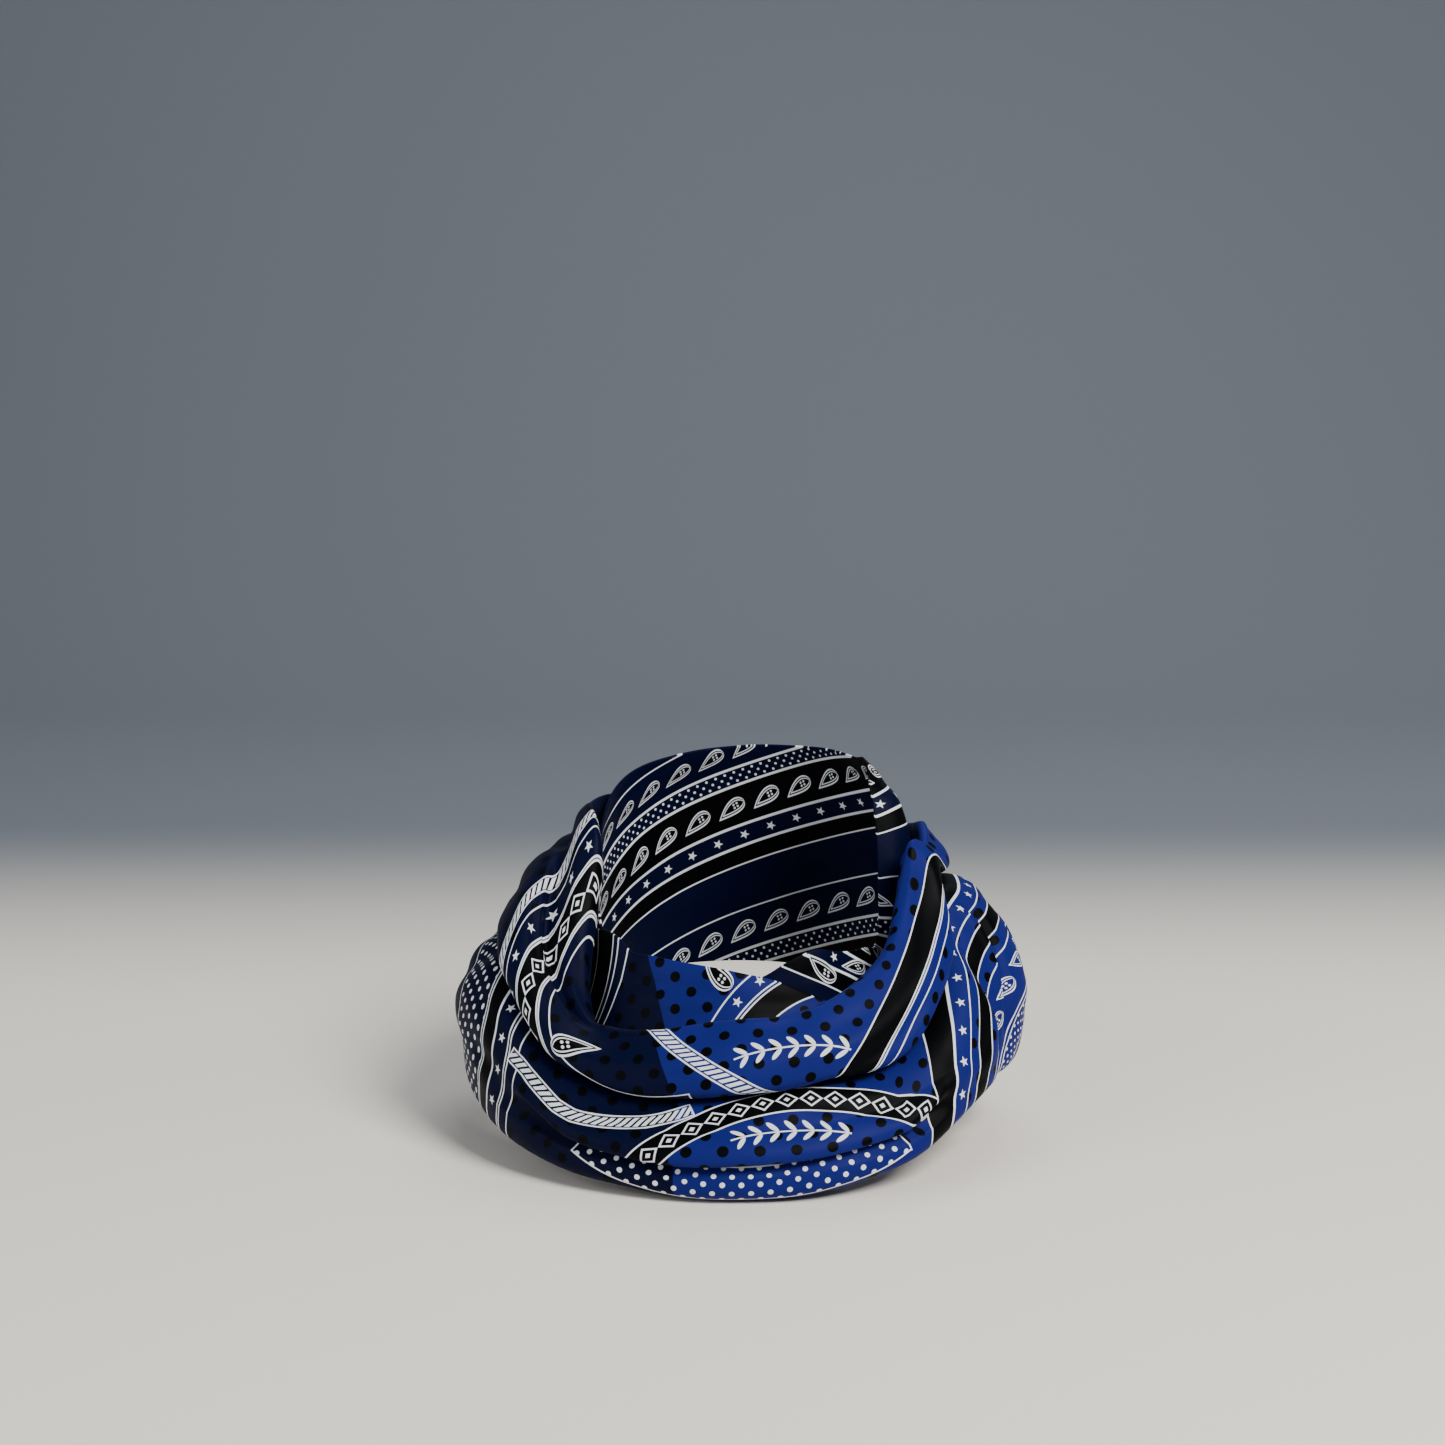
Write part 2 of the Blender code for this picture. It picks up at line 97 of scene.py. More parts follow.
# Cowl: the big loop that hangs at the front. A dip parts it in two soft rolls on the left.
# Lines: ridge, dip, crown and lip
COWL = (
    (-160, 73.5, 60, 78, 54, 83.5, 48, 90, 31),
    (-128, 65.8, 71, 72, 58, 79.5, 53, 91.5, 30),
    (-108, 60.6, 72.5, 68.2, 60, 77, 55, 92, 29),
    (-93, 57.2, 74.5, 66.6, 58.5, 75.4, 55, 92, 28),
    (-81, 56, 72, 68.5, 55, 77.5, 52, 93.5, 28),
    (-72, 56.8, 61, 73, 45, 82, 46, 95.5, 27),
    (-65, 61.5, 44, 78.5, 32.5, 87.5, 36, 98, 22.5),
    (-58, 67.5, 29, 82.5, 22.4, 91.5, 25, 99.5, 16),
    (-50, 74.5, 15.8, 85, 15, 94, 14.5, 101.5, 7),
    (-43, 79, 7.5, 86.5, 8, 94.5, 6.5, 102, -1.5),
    (-34, 81.5, 6, 88, 5, 94.5, 2, 101.5, -6.5),
    (-21, 82.5, 8, 88.5, 6.5, 94, 2, 100, -11),
    (-10, 82, 11, 88, 9, 93.5, 4, 99, -10),
    (0, 82, 13.3, 87.5, 11.5, 93, 6, 98.5, -8),
    (10, 81.5, 14.2, 87, 12.5, 92.5, 7.5, 98, -7.2),
    (20, 80.3, 17, 86, 15.5, 92, 10.5, 98, -4.5),
    (31, 77.7, 21.5, 84, 20.5, 90.5, 15.5, 98.5, -3),
    (41, 75, 28, 81.5, 27, 88.5, 22, 97.5, 3),
    (50, 72, 35, 78, 34.5, 84.5, 31, 95, 14.5),
    (57, 69.2, 42.5, 74.5, 42.5, 80.5, 39, 91.5, 22),
    (63, 67.2, 51, 72, 51, 77.5, 48, 88, 30),
    (69, 66.2, 63, 69.5, 63.5, 73.5, 61, 81, 46),
    (75, 66.6, 65, 69.3, 65, 72.5, 63, 78, 55),
    (83, 68.4, 60.5, 71, 60.5, 74, 58.5, 79, 52),
    (91, 69.6, 62.5, 72.5, 61.5, 75.5, 59, 80.5, 51),
    (100, 70.2, 65.3, 73.4, 63.5, 76.6, 60, 82, 50),
    (112, 71.4, 62, 75, 59.5, 78.5, 55.5, 84, 45),
    (128, 73, 56, 76.5, 53, 80.5, 49, 86.5, 37),
    (155, 74.5, 54, 78.5, 50, 83, 45, 89, 32),
)

# Where the cowl bends: reach and height from its guide lines, or from a share of the way between two.
# A slim stretch bends less.
COWL_RISE = (-2.0, -4.5)
COWL_OVER_SHARE = 0.3
COWL_OVER = (1.2, 1.0)
COWL_BROW_SHARE = 0.55
COWL_BROW = (1.4, 1.8)
COWL_UNDER_LIP = ((-2.4, -2.0), (-6.0, -0.4))
FULL_COWL_WIDTH = 24.0
SLIMMEST_COWL = 0.35

# Root: where the cloth behind the ridge ends, down inside the wraps
COWL_ROOT = (
    (-160, 75, 19),
    (-125, 68, 18),
    (-100, 64, 17),
    (-85, 62.5, 15),
    (-72, 64.5, 12),
    (-60, 69, 4),
    (-50, 76, -6),
    (-40, 80.5, -14),
    (-20, 83, -21),
    (0, 83, -20),
    (20, 81.5, -17),
    (40, 77, -9),
    (52, 74, 2),
    (62, 71, 16),
    (72, 69, 34),
    (84, 70, 40),
    (100, 71.5, 38),
    (125, 74.5, 28),
    (160, 76, 21),
)

# Drape: the outer wrap, whose lower edge turns under.
# Lines: crest, brow, belly, tier and hem
DRAPE = (
    (-160, 86, 27.5, 94, 23, 98.5, 14, 99.5, 3, 97, -4),
    (-128, 87, 26.6, 96.5, 21, 103, 9, 104, -4, 100.5, -11),
    (-100, 87.5, 25.6, 99.5, 19, 107.5, 5, 107, -10, 103.5, -20),
    (-85, 88, 25.2, 101, 18, 108.8, 3, 107.5, -11, 104.5, -24),
    (-70, 91, 22.4, 102, 15, 108, -1, 109, -16, 106.5, -28.5),
    (-57, 93.5, 10.8, 103.5, 5.5, 108, -7, 110.5, -21.5, 109, -31.5),
    (-45, 95, -3.6, 104, -7, 107, -12, 111, -27, 110.5, -35.5),
    (-32, 94.5, -11.5, 102.5, -15, 105.5, -18.5, 111, -33, 110.8, -39.5),
    (-17, 93, -14.2, 101, -18.5, 104.6, -22, 111.2, -37, 110.8, -42.3),
    (0, 91.5, -11.9, 100.5, -16.2, 104.4, -21.5, 111.2, -36.5, 110.6, -42.8),
    (15, 91, -9.8, 100, -15, 104.4, -20, 111.2, -35, 110.8, -41.3),
    (26, 91, -9, 100, -13, 104.6, -18, 111.2, -32.5, 110.8, -38),
    (36, 91, -5, 100.5, -9, 105.3, -14, 110.8, -28, 110.6, -33.3),
    (45, 90.5, 2.8, 101, -1, 106.5, -8, 110.4, -20.5, 110, -27),
    (54, 87.5, 13.5, 99, 10, 107, -2, 110, -14, 109.3, -21),
    (64, 82, 29.5, 94.5, 24, 107.3, 4, 109.6, -9, 108, -17.5),
    (74, 77.5, 45.5, 89.5, 40, 108.8, 9, 110, -7, 106.5, -18.5),
    (84, 78, 46, 88, 43.5, 109.4, 11, 109.6, -5, 104.5, -20.5),
    (98, 79.5, 45, 88.5, 42.5, 108.2, 13, 108, -4, 101.5, -18.5),
    (112, 81.5, 41, 90, 38.5, 105, 15, 105.5, -1, 100.5, -13),
    (130, 83.5, 32.5, 92.5, 30.5, 102.5, 15, 103.5, 2, 99, -7.5),
    (158, 85.5, 27, 94, 25, 99.5, 15, 101, 4, 98, -3.5),
)

# Where the drape starts under the cowl and turns in under its hem, from its guide lines
DRAPE_ROOT = (-5.0, -1.5)
DRAPE_UNDER_HEM = ((-6.0, -3.6), (-15.0, -2.6))

# Pleat: between the belly and the tier the outer wrap doubles back under itself at the front. Its
# strength round the opening sets how far it lifts and shifts, and a strong pleat has rounder folds.
PLEAT_LIFT = 3.2
PLEAT_SHIFT = 0.88
PLEAT_ROUNDING = 0.50
PLEAT_ROUNDS_FROM = (0.2, 0.8)
PLEAT_ROUNDING_LOSS = 0.5
PLEAT_LIFTS_BY = 1.7
PLEAT_AZIMUTHS = (-180, -57, -49, -44.5, -41, -38, -34, -20, 18, 33, 38, 43, 51, 180)
PLEAT_STRENGTHS = (0, 0, 0.10, 0.35, 0.60, 0.80, 0.95, 1, 1, 0.90, 0.42, 0.10, 0, 0)

# Soft furrows that run down the wraps: azimuth above and below, shares of the way down where it starts
# and stops, depth inwards and downwards, width before and after its line
DRAPE_FURROWS = (
    (68, 65, 0.16, 0.86, 6.5, 2.6, 3.2, 8),
    (-176, 178, -0.20, 1.30, 3.2, 0.8, 9, 9),
    (146, 138, 0.20, 1.30, 2.4, 0.6, 7, 10),
    (-140, -128, 0.20, 1.30, 2.4, 0.6, 10, 7),
    (-97, -90, 0.30, 0.90, 1.6, 0.4, 6, 8),
)
COWL_FURROWS = (
    (-178, 176, -0.20, 1.30, 2.4, 1, 9, 9),
    (150, 142, 0.30, 1.30, 1.5, 0.5, 7, 9),
    (-146, -134, 0.30, 1.30, 1.8, 0.5, 9, 7),
)
FURROW_FADE_IN = 0.12
FURROW_FADE_OUT = 0.08

# A rim is rounded by points at these angles, from the outer face to the inner one
RIM_ANGLES = (45.0, 90.0, 135.0)

# A sharp bend leaves the wall this share of its radius, and the points beside it ease towards that
BEND_SHARE = 0.55
BEND_EASINGS = 6

# Creases and slack start this far down the cowl's section, so that its hidden root clears the collar
COWL_ROOT_EASE = (0.04, 0.14)

# Creases on the flat cloth: depth, width and lip, and the x and y of four places that a cubic runs
# through. A lip stands on the right of the way the crease runs, and a low bank on both sides.
CREASE_STEPS = 24
CREASE_FADE = 0.28
CREASE_BANK = 0.22
CREASE_BANK_AT = 2.0
CREASE_LIP_AT = 1.3
CREASES = {
    "collar": (
        (0.8, 4, 0.2, 92, 70, 112, 66, 132, 55, 158, 46),
        (1, 6, 0, 112, 40, 142, 50, 176, 44, 214, 34),
        (0.9, 5, 0.2, 176, 78, 214, 66, 250, 58, 286, 60),
        (1, 6.5, 0, 226, 20, 262, 34, 296, 30, 330, 14),
        (0.6, 4, 0, 150, 10, 190, 4, 230, 6, 270, -4),
        (0.5, 2.6, 0.1, 20, 2, 34, 5, 46, 6, 58, 5),
    ),
    "inner_fold": (
        (0.6, 3, 0.1, -54, 3, -36, -1, -16, -6, 6, -9),
        (0.5, 3, 0, -26, -18, -8, -13, 12, -11, 34, -8),
    ),
    "cowl": (
        (1.5, 6.5, 0, -125, 13, -105, -9, -80, -23, -52, -33),
        (2.3, 1.9, 1.3, -127, 15, -106, -8, -80, -22.5, -54, -33),
        (0.5, 2.6, 0, -98, 0, -84, -10, -66, -20, -44, -25),
        (0.5, 3.2, 0, -70, -46, -46, -54, -16, -56, 12, -52),
        (0.9, 4.2, 0.2, 8, -46, 40, -42, 68, -28, 94, -8),
        (0.9, 3.4, 0.3, 26, -58, 46, -56, 64, -48, 82, -38),
        (0.4, 3, 0, -24, -37, -4, -40, 18, -41, 42, -37),
        (0.6, 2.6, 0.2, 78, 0, 90, 4, 104, 10, 118, 18),
        (1.2, 5, 0.2, 134, 8, 148, 20, 164, 34, 182, 52),
        (0.9, 4, 0, 128, 26, 142, 32, 158, 42, 172, 56),
        (1.3, 5.5, 0.2, -118, 28, -134, 20, -152, 22, -172, 34),
        (1, 4.5, 0.2, -130, -10, -150, -4, -168, 10, -186, 26),
        (1.3, 5.5, 0.2, -168, 58, -184, 60, -202, 70, -222, 90),
        (1, 4.5, 0.2, -186, 30, -202, 46, -216, 62, -228, 80),
        (1.2, 5.5, 0.2, -206, 100, -222, 104, -238, 110, -254, 122),
    ),
    "drape": (
        (1.5, 6, 0, 130, 44, 137, 26, 136, 2, 131, -28),
        (1.9, 2.1, 1.4, 130, 44, 138, 25, 136, 2, 131, -27),
        (0.9, 5, 0.2, -150, 6, -124, 0, -96, -14, -62, -34),
        (0.6, 3.6, 0, -132, -14, -106, -22, -76, -26, -44, -24),
        (0.8, 4.2, 0.2, 116, 20, 112, 4, 100, -16, 84, -34),
        (0.6, 4, 0, 158, 34, 160, 18, 158, 0, 150, -22),
        (0.6, 3.2, 0, -58, -12, -34, -15, -8, -16, 20, -14),
        (0.7, 3.2, 0.1, 18, -13, 34, -15, 50, -19, 66, -25),
        (0.4, 3.4, 0, -44, -56, -14, -59, 20, -59, 50, -56),
        (1.4, 6, 0.2, -130, 24, -152, 8, -178, -6, -208, -14),
        (1, 4.5, 0.2, -150, -22, -172, -25, -196, -22, -220, -12),
        (0.9, 4, 0.1, -162, 22, -184, 16, -208, 12, -232, 16),
        (1.3, 6, 0.2, -222, 34, -246, 26, -270, 30, -296, 44),
        (1, 5, 0.2, -238, 2, -260, 4, -282, 12, -304, 26),
        (1.2, 5.5, 0.2, 150, 38, 172, 28, 196, 24, 222, 28),
        (1, 4.5, 0.2, 148, -26, 170, -18, 194, -11, 222, -8),
        (1.4, 6, 0.2, 170, 10, 192, 5, 216, 7, 242, 16),
        (1.2, 5.5, 0.2, 230, 38, 254, 35, 276, 37, 300, 46),
        (1, 5, 0.2, 240, 8, 260, 14, 282, 18, 306, 20),
    ),
}

# Slack waves: whole turns round the opening, turns down the section, phase in turns, height in mm
SLACK = {
    "collar": ((5, 0.4, 0.1, 0.35), (9, -0.8, 0.6, 0.20)),
    "inner_fold": ((8, 0.5, 0.2, 0.20), (15, -0.9, 0.5, 0.12)),
    "cowl": ((6, 1.1, 0.3, 0.28), (11, -1.7, 0.7, 0.20), (17, 2.6, 0.2, 0.12)),
    "drape": ((5, 1.3, 0.8, 0.35), (9, -1.9, 0.1, 0.24), (16, 2.4, 0.5, 0.13)),
}

# Colours of the inks
INK_BLACK = (0.0003, 0.0005, 0.0012)
NAVY = (0.0012, 0.0023, 0.019)
ROYAL = (0.0070, 0.0108, 0.128)
CREAM = (0.76, 0.79, 0.83)
TAU = 2 * np.pi
HALF_ROOT = 0.5**0.5

# The print, in mm on the flat cloth. Every figure has a pitch and a size, and the ink a soft edge.
CLOTH_MAP = "cloth"
INK_EDGE = 0.09
PIPING = 0.29
POLKA = (8.6, 1.95)
FIGURES = {
    "dots": ("dots", 4.7, 0.98),
    "fine_dots": ("dots", 2.8, 0.52),
    "stars": ("stars", 11.5, 2.0),
    "chain": ("chain", 9.0, 3.3),
    "rings": ("rings", 7.4, 3.0),
    "cord": ("cord", 3.0, 1.8),
    "leaves": ("leaves", 6.0, 2.6),
    "paisleys": ("paisleys", 15.0, 12.5),
    "dark_paisleys": ("paisleys", 15.0, 12.5),
}
STAR_POINTS = 5
STAR_EDGE = (0.3505, 0.9365)
CHAIN_LINE = (0.86, 0.12)
CHAIN_BUD = 0.28
CORD_LEAN = 1.1
CORD_STRAND = 0.31
RING_LINE = 0.40
RING_BUD = 0.28
LEAF_LEAN = np.radians(44.0)
LEAF_START = 3.1
LEAF_BACK = 2.3
LEAF_WIDTH = 0.85
STEM = 0.30
PAISLEY_BASE = 0.42
PAISLEY_CURL = 0.34
PAISLEY_SHIFT = 0.05
PAISLEY_FULLNESS = 0.66
PAISLEY_CUT = 4.0
PAISLEY_LINES = ((0.022, 0.024), (0.105, 0.016))
PAISLEY_SEEDS = (0.32, 0.052, 0.058, 0.034)
ALONE = 400.0

# Twill: pitch of its ribs in mm, their slant and relief, and how much the cloth's tone and gloss change
TWILL_PITCH = 0.5
TWILL_SLANT = 1.4
TWILL_RELIEF = 0.03
TWILL_NOISES = (("slub", 1.6, 2.0), ("tone", 0.035, 3.0), ("wear", 0.11, 2.0))
TONE = (0.85, 0.30)
GLOSS = (0.42, 0.16)
BUMP_STRENGTH = 0.25
FINISH = {"Sheen Weight": 0.01, "Sheen Roughness": 0.4, "Specular IOR Level": 0.05}

BAND_GROUNDS = {
    "black": INK_BLACK,
    "chain": INK_BLACK,
    "rings": INK_BLACK,
    "dark_paisleys": INK_BLACK,
    "royal": ROYAL,
    "navy": NAVY,
}
OPEN_FIGURES = ("leaves",)
# A band of this half length runs on until the cloth ends
WHOLE = 900.0

# The collar's bands: fill, offset and half width. They repeat from each of these radii.
STRIPES = (
    ("paisleys", 8, 8),
    ("fine_dots", 20, 3.5),
    ("dark_paisleys", 32, 8),
    ("stars", 44.5, 4),
    ("black", 52.5, 3.5),
)
STRIPES_ARC = (520, 1150, -106)
STRIPES_FROM = (1046, 1120, 1194)
COLLAR_STRIPES = [
    (fill, start + offset, half_width)
    for start in STRIPES_FROM
    for fill, offset, half_width in STRIPES
]

# The ground is navy left of a line: its place at y = 0 and its slope. Bands lie on arcs, each with its
# centre and the heading of its middle, and then rows of fill, radius and half width, with a half length
# where the band ends. Single paisleys have a centre, a heading and a size.
PRINTS = {
    "collar": {
        "navy_left_of": (WHOLE, 0.0),
        "polka": False,
        "arcs": ((STRIPES_ARC, *COLLAR_STRIPES),),
        "paisleys": ((32, 4, 70, 14), (49, 5, 110, 12)),
    },
    "inner_fold": {
        "navy_left_of": (-33.0, 0.25),
        "polka": True,
        "arcs": (
            ((46, -50, 140), ("black", 52, 4.6), ("stars", 61.5, 3.6)),
            # Painted shade: on the left, a wide black band and a thin navy band darken the inner fold
            # where it lies in shadow in the gap under the cowl
            ((-120, 30, -20), ("black", 64, 6, 60), ("navy", 75, 2.2, 60)),
        ),
        "paisleys": ((-8, -1, 60, 15),),
    },
    "cowl": {
        "navy_left_of": (-46.0, 0.35),
        "polka": True,
        "arcs": (
            (
                (-26, -6, 180),
                ("cord", 90, 2.4, 150),
                ("stars", 79.5, 4.2, 135),
                ("chain", 69, 5.4, 117),
                ("navy", 60.5, 2.2, 103),
            ),
            ((60, 40, -133), ("cord", 119, 2.6, 50)),
            ((150, -130, 150), ("black", 128, 5.2), ("royal", 119.5, 2.2)),
            ((18, -110, 90), ("leaves", 61, 5.5, 21)),
            ((-236, 60, 10), ("black", 62, 5), ("stars", 72, 4), ("paisleys", 46, 9)),
            ((224, 50, 180), ("black", 62, 4.4), ("fine_dots", 50, 6.4), ("stars", 38, 4)),
        ),
        "paisleys": ((-63, -44, -62, 18),),
    },
    "drape": {
        "navy_left_of": (-24.0, 0.0),
        "polka": True,
        "arcs": (
            ((20, -80, 100), ("chain", 70, 4.8, 72)),
            ((0, 60, -90), ("dots", 121, 7.2, 62)),
            (
                (-180, -20, -10),
                ("dots", 52, 13),
                ("black", 70, 3.6),
                ("stars", 78, 4),
                ("navy", 86, 2.6),
            ),
            ((-60, 70, -88), ("cord", 92, 2.6, 40)),
            (
                (170, -40, 180),
                ("black", 93, 5.2),
                ("stars", 83.5, 3.8),
                ("black", 71, 3.4),
                ("paisleys", 52, 9),
                ("fine_dots", 36, 5),
            ),
            ((17, -80, 90), ("leaves", 57.5, 5.5, 21)),
            ((-292, 40, 0), ("dots", 62, 8), ("black", 49, 4.4), ("rings", 39, 4.8)),
            ((300, 40, 180), ("dots", 62, 8), ("chain", 49, 5), ("paisleys", 34, 9)),
        ),
        "paisleys": (),
    },
}

# The azimuth where each ring's print meets itself. Where the join shows, a straight black band of this
# half width covers it, as an arc of a very large circle. Creases ease off within some stations of it.
SEAMS = {"collar": -40.0, "cowl": 150.0, "drape": -180.0}
BANDED_SEAMS = ("cowl", "drape")
SEAM_BAND = 5.0
SEAM_EASE = 14
STRAIGHT = 4000.0

# Camera: a long lens ten degrees above the opening, which frames the photo's square
CAMERA_TILT = 10.0
CAMERA_DISTANCE = 1.15
CAMERA_TARGET = (-0.00665, 0.0, 0.107)
METRES_PER_PIXEL = 0.00038
PHOTO_SIDE = 1445
SENSOR_WIDTH = 36.0

# Studio, in metres: the floor bends up into a wall behind
FLOOR_HEIGHT = -0.0468
FLOOR_SIDE = 3.0
FLOOR_BENDS_AT = 0.9
FLOOR_BEND = 0.8
FLOOR_BEND_STEPS = 25
WALL_TOP = 3.5
FLOOR_ROUGHNESS = 0.8
FLOOR_COLOUR = (0.88, 0.83, 0.75)
WALL_COLOUR = (0.155, 0.175, 0.205)
WALL_STARTS_AT = (0.14, 0.55)
SKY_COLOUR = (0.62, 0.66, 0.72)
SKY_STRENGTH = 0.32
SOFT_BOXES = (
    ("key_light", (0.85, -1.0, 1.25), (0.0, 0.0, 0.02), 0.7, 43.0, (1.0, 0.98, 0.94)),
    ("fill_light", (-1.3, -0.7, 0.6), (0.0, 0.0, 0.02), 1.0, 9.0, (0.94, 0.97, 1.0)),
    ("back_light", (0.2, 0.9, 1.3), (0.0, 0.0, 0.05), 0.8, 7.0, (0.95, 0.97, 1.0)),
)

# How finely each wrap is woven here: stations round the opening, and points in each span of a section
STATIONS = {"collar": 400, "inner_fold": 240, "cowl": 600, "drape": 600}
COLLAR_SPANS = (22, 22)
INNER_FOLD_SPANS = (20, 20)
COWL_SPANS = (6, 6, 6, 7, 12, 9, 9, 7, 5)
DRAPE_SPANS = (5, 10, 10, 36, 6, 5, 3)
CHORD_POWER = 0.75

# The part's own coarser spans, by which the furrows' shares are counted
COARSE_COWL_SPANS = (2, 2, 2, 2, 3, 2, 2, 2, 1)
COARSE_DRAPE_SPANS = (2, 3, 3, 13, 2, 2, 2)


def guide_lines(table, azimuths):
    """Reach and height of each guide line at these azimuths: smooth closed curves through the rows."""
    rows = np.array(table, float)
    knots = np.concatenate([rows[:, 0] + turn for turn in (-TURN, 0.0, TURN)])
    values = np.tile(rows[:, 1:], (3, 1))
    span = np.diff(knots)[:, None]
    slope = slopes(np.diff(values, axis=0) / span, span)
    i = np.searchsorted(knots, azimuths, side="right") - 1
    t = (azimuths - knots[i])[:, None] / span[i]
    lines = hermite(t, values[i], values[i + 1], span[i] * slope[i], span[i] * slope[i + 1])
    return np.split(lines, lines.shape[1] // 2, axis=1)


def slopes(rates, spans):
    """Slopes at the knots of a curve, along the first axis: the mean rate, weighted by the far span."""
    inner = (rates[:-1] * spans[1:] + rates[1:] * spans[:-1]) / (spans[1:] + spans[:-1])
    return np.concatenate([rates[:1], inner, rates[-1:]])


def hermite(t, start, end, leave, arrive):
    """The cubic from start to end that leaves and arrives at these slopes, for t from 0 to 1."""
    return (
        start * (1 + 2 * t) * (1 - t) ** 2
        + end * t * t * (3 - 2 * t)
        + leave * t * (1 - t) ** 2
        - arrive * t * t * (1 - t)
    )


def smooth_section(guides, shares):
    """Points of every section: a Hermite curve through its guides, timed by chord ** CHORD_POWER."""
    points = np.stack(guides)[:, :, None]
    step = np.diff(points, axis=0)
    chord = np.linalg.norm(step, axis=-1, keepdims=True) ** CHORD_POWER
    slope = slopes(step / chord, chord)
    spans = []
    for k, share in enumerate(shares):
        t = np.broadcast_to(share, (points.shape[1], np.shape(share)[-1]))[..., None]
        spans.append(hermite(t, *points[k : k + 2], chord[k] * slope[k], chord[k] * slope[k + 1]))
    return np.concatenate([*spans, points[-1]], axis=1)


def even(*counts):
    """Evenly spaced shares for each span, without its far end."""
    return [np.arange(n) / n for n in counts]


def around_opening(azimuths, sections):
    """x = reach sin(azimuth), y = -reach cos(azimuth) and z = height."""
    turn = np.radians(azimuths)[:, None]
    reach, height = sections[..., 0], sections[..., 1]
    return np.stack([reach * np.sin(turn), -reach * np.cos(turn), height], axis=-1)


def surface_normals(points, closed):
    """Unit normals of a grid of points, square to the mean directions of its rows and columns."""
    wrapped = np.concatenate([points[-1:], points, points[:1]]) if closed else points
    along = mean_direction(wrapped)[1:-1] if closed else mean_direction(wrapped)
    across = mean_direction(points.swapaxes(0, 1)).swapaxes(0, 1)
    return unit(np.cross(across, along))


def mean_direction(points):
    """The mean of the directions before and after each point, along the first axis."""
    step = unit(np.diff(points, axis=0))
    return np.concatenate([step[:1], 0.5 * (step[1:] + step[:-1]), step[-1:]])


def unit(vectors):
    """Each vector divided by its length."""
    return vectors / np.linalg.norm(vectors, axis=-1, keepdims=True)


def ramp(low, high, at):
    """A smooth step from 0 at low to 1 at high."""
    t = np.clip((at - low) / (high - low), 0.0, 1.0)
    return t * t * (3 - 2 * t)


def sink_furrows(azimuths, sections, share, table):
    """Sections moved inwards and down by the furrows: each falls off as a bell beside its line."""
    moved = sections.copy()
    for above, below, start, stop, inwards, downwards, before, after in table:
        turn = (below - above + TURN / 2) % TURN - TURN / 2
        off = (azimuths[:, None] - above - turn * share + TURN / 2) % TURN - TURN / 2
        bell = np.exp(-((off / np.where(off < 0, before, after)) ** 2))
        bell *= ramp(start - FURROW_FADE_IN, start + FURROW_FADE_IN, share)
        bell *= ramp(stop + FURROW_FADE_OUT, stop - FURROW_FADE_OUT, share)
        moved -= bell[..., None] * [inwards, downwards]
    return moved


def ring_azimuths(count):
    """Stations all round the opening, closest together at the front."""
    even_turn = np.arange(count) * TURN / count - TURN / 2
    return even_turn - np.degrees(FRONT_CROWDING) * np.sin(np.radians(even_turn))


def section_share(spans, coarse):
    """How far down the section each fine point is, counted as the part's coarser sections are."""
    ends = np.concatenate([[0], np.cumsum(coarse)]) / sum(coarse)
    steps = [ends[k] + (ends[k + 1] - ends[k]) * np.arange(n) / n for k, n in enumerate(spans)]
    return np.concatenate(steps + [[1.0]])[None, :]


def collar_points(azimuths):
    """From the top edge at the opening, over the brow and down and out to the foot."""
    guides = guide_lines(COLLAR, azimuths)
    return around_opening(azimuths, smooth_section(guides, even(*COLLAR_SPANS)))


def inner_fold_points(azimuths):
    """From the top edge down the slack face that the cowl covers."""
    top, foot = guide_lines(INNER_FOLD, azimuths)
    slack = 0.5 * (top + foot) + INNER_FOLD_SLACK
    return around_opening(azimuths, smooth_section([top, slack, foot], even(*INNER_FOLD_SPANS)))


def cowl_points(azimuths):
    """From a root behind the ridge, over ridge, dip and crown, to the lip and back under it."""
    ridge, dip, crown, lip = guide_lines(COWL, azimuths)
    (root,) = guide_lines(COWL_ROOT, azimuths)
    width = np.linalg.norm(lip - ridge, axis=1, keepdims=True)
    size = np.clip(width / FULL_COWL_WIDTH, SLIMMEST_COWL, 1.0)
    rise = ridge + COWL_RISE * size
    over = ridge + COWL_OVER_SHARE * (dip - ridge) + COWL_OVER * size
    brow = crown + COWL_BROW_SHARE * (lip - crown) + COWL_BROW * size
    under = [lip + step for step in np.array(COWL_UNDER_LIP)]
    guides = [root, rise, ridge, over, dip, crown, brow, lip, *under]
    sections = smooth_section(guides, even(*COWL_SPANS))
    share = section_share(COWL_SPANS, COARSE_COWL_SPANS)
    return around_opening(azimuths, sink_furrows(azimuths, sections, share, COWL_FURROWS))


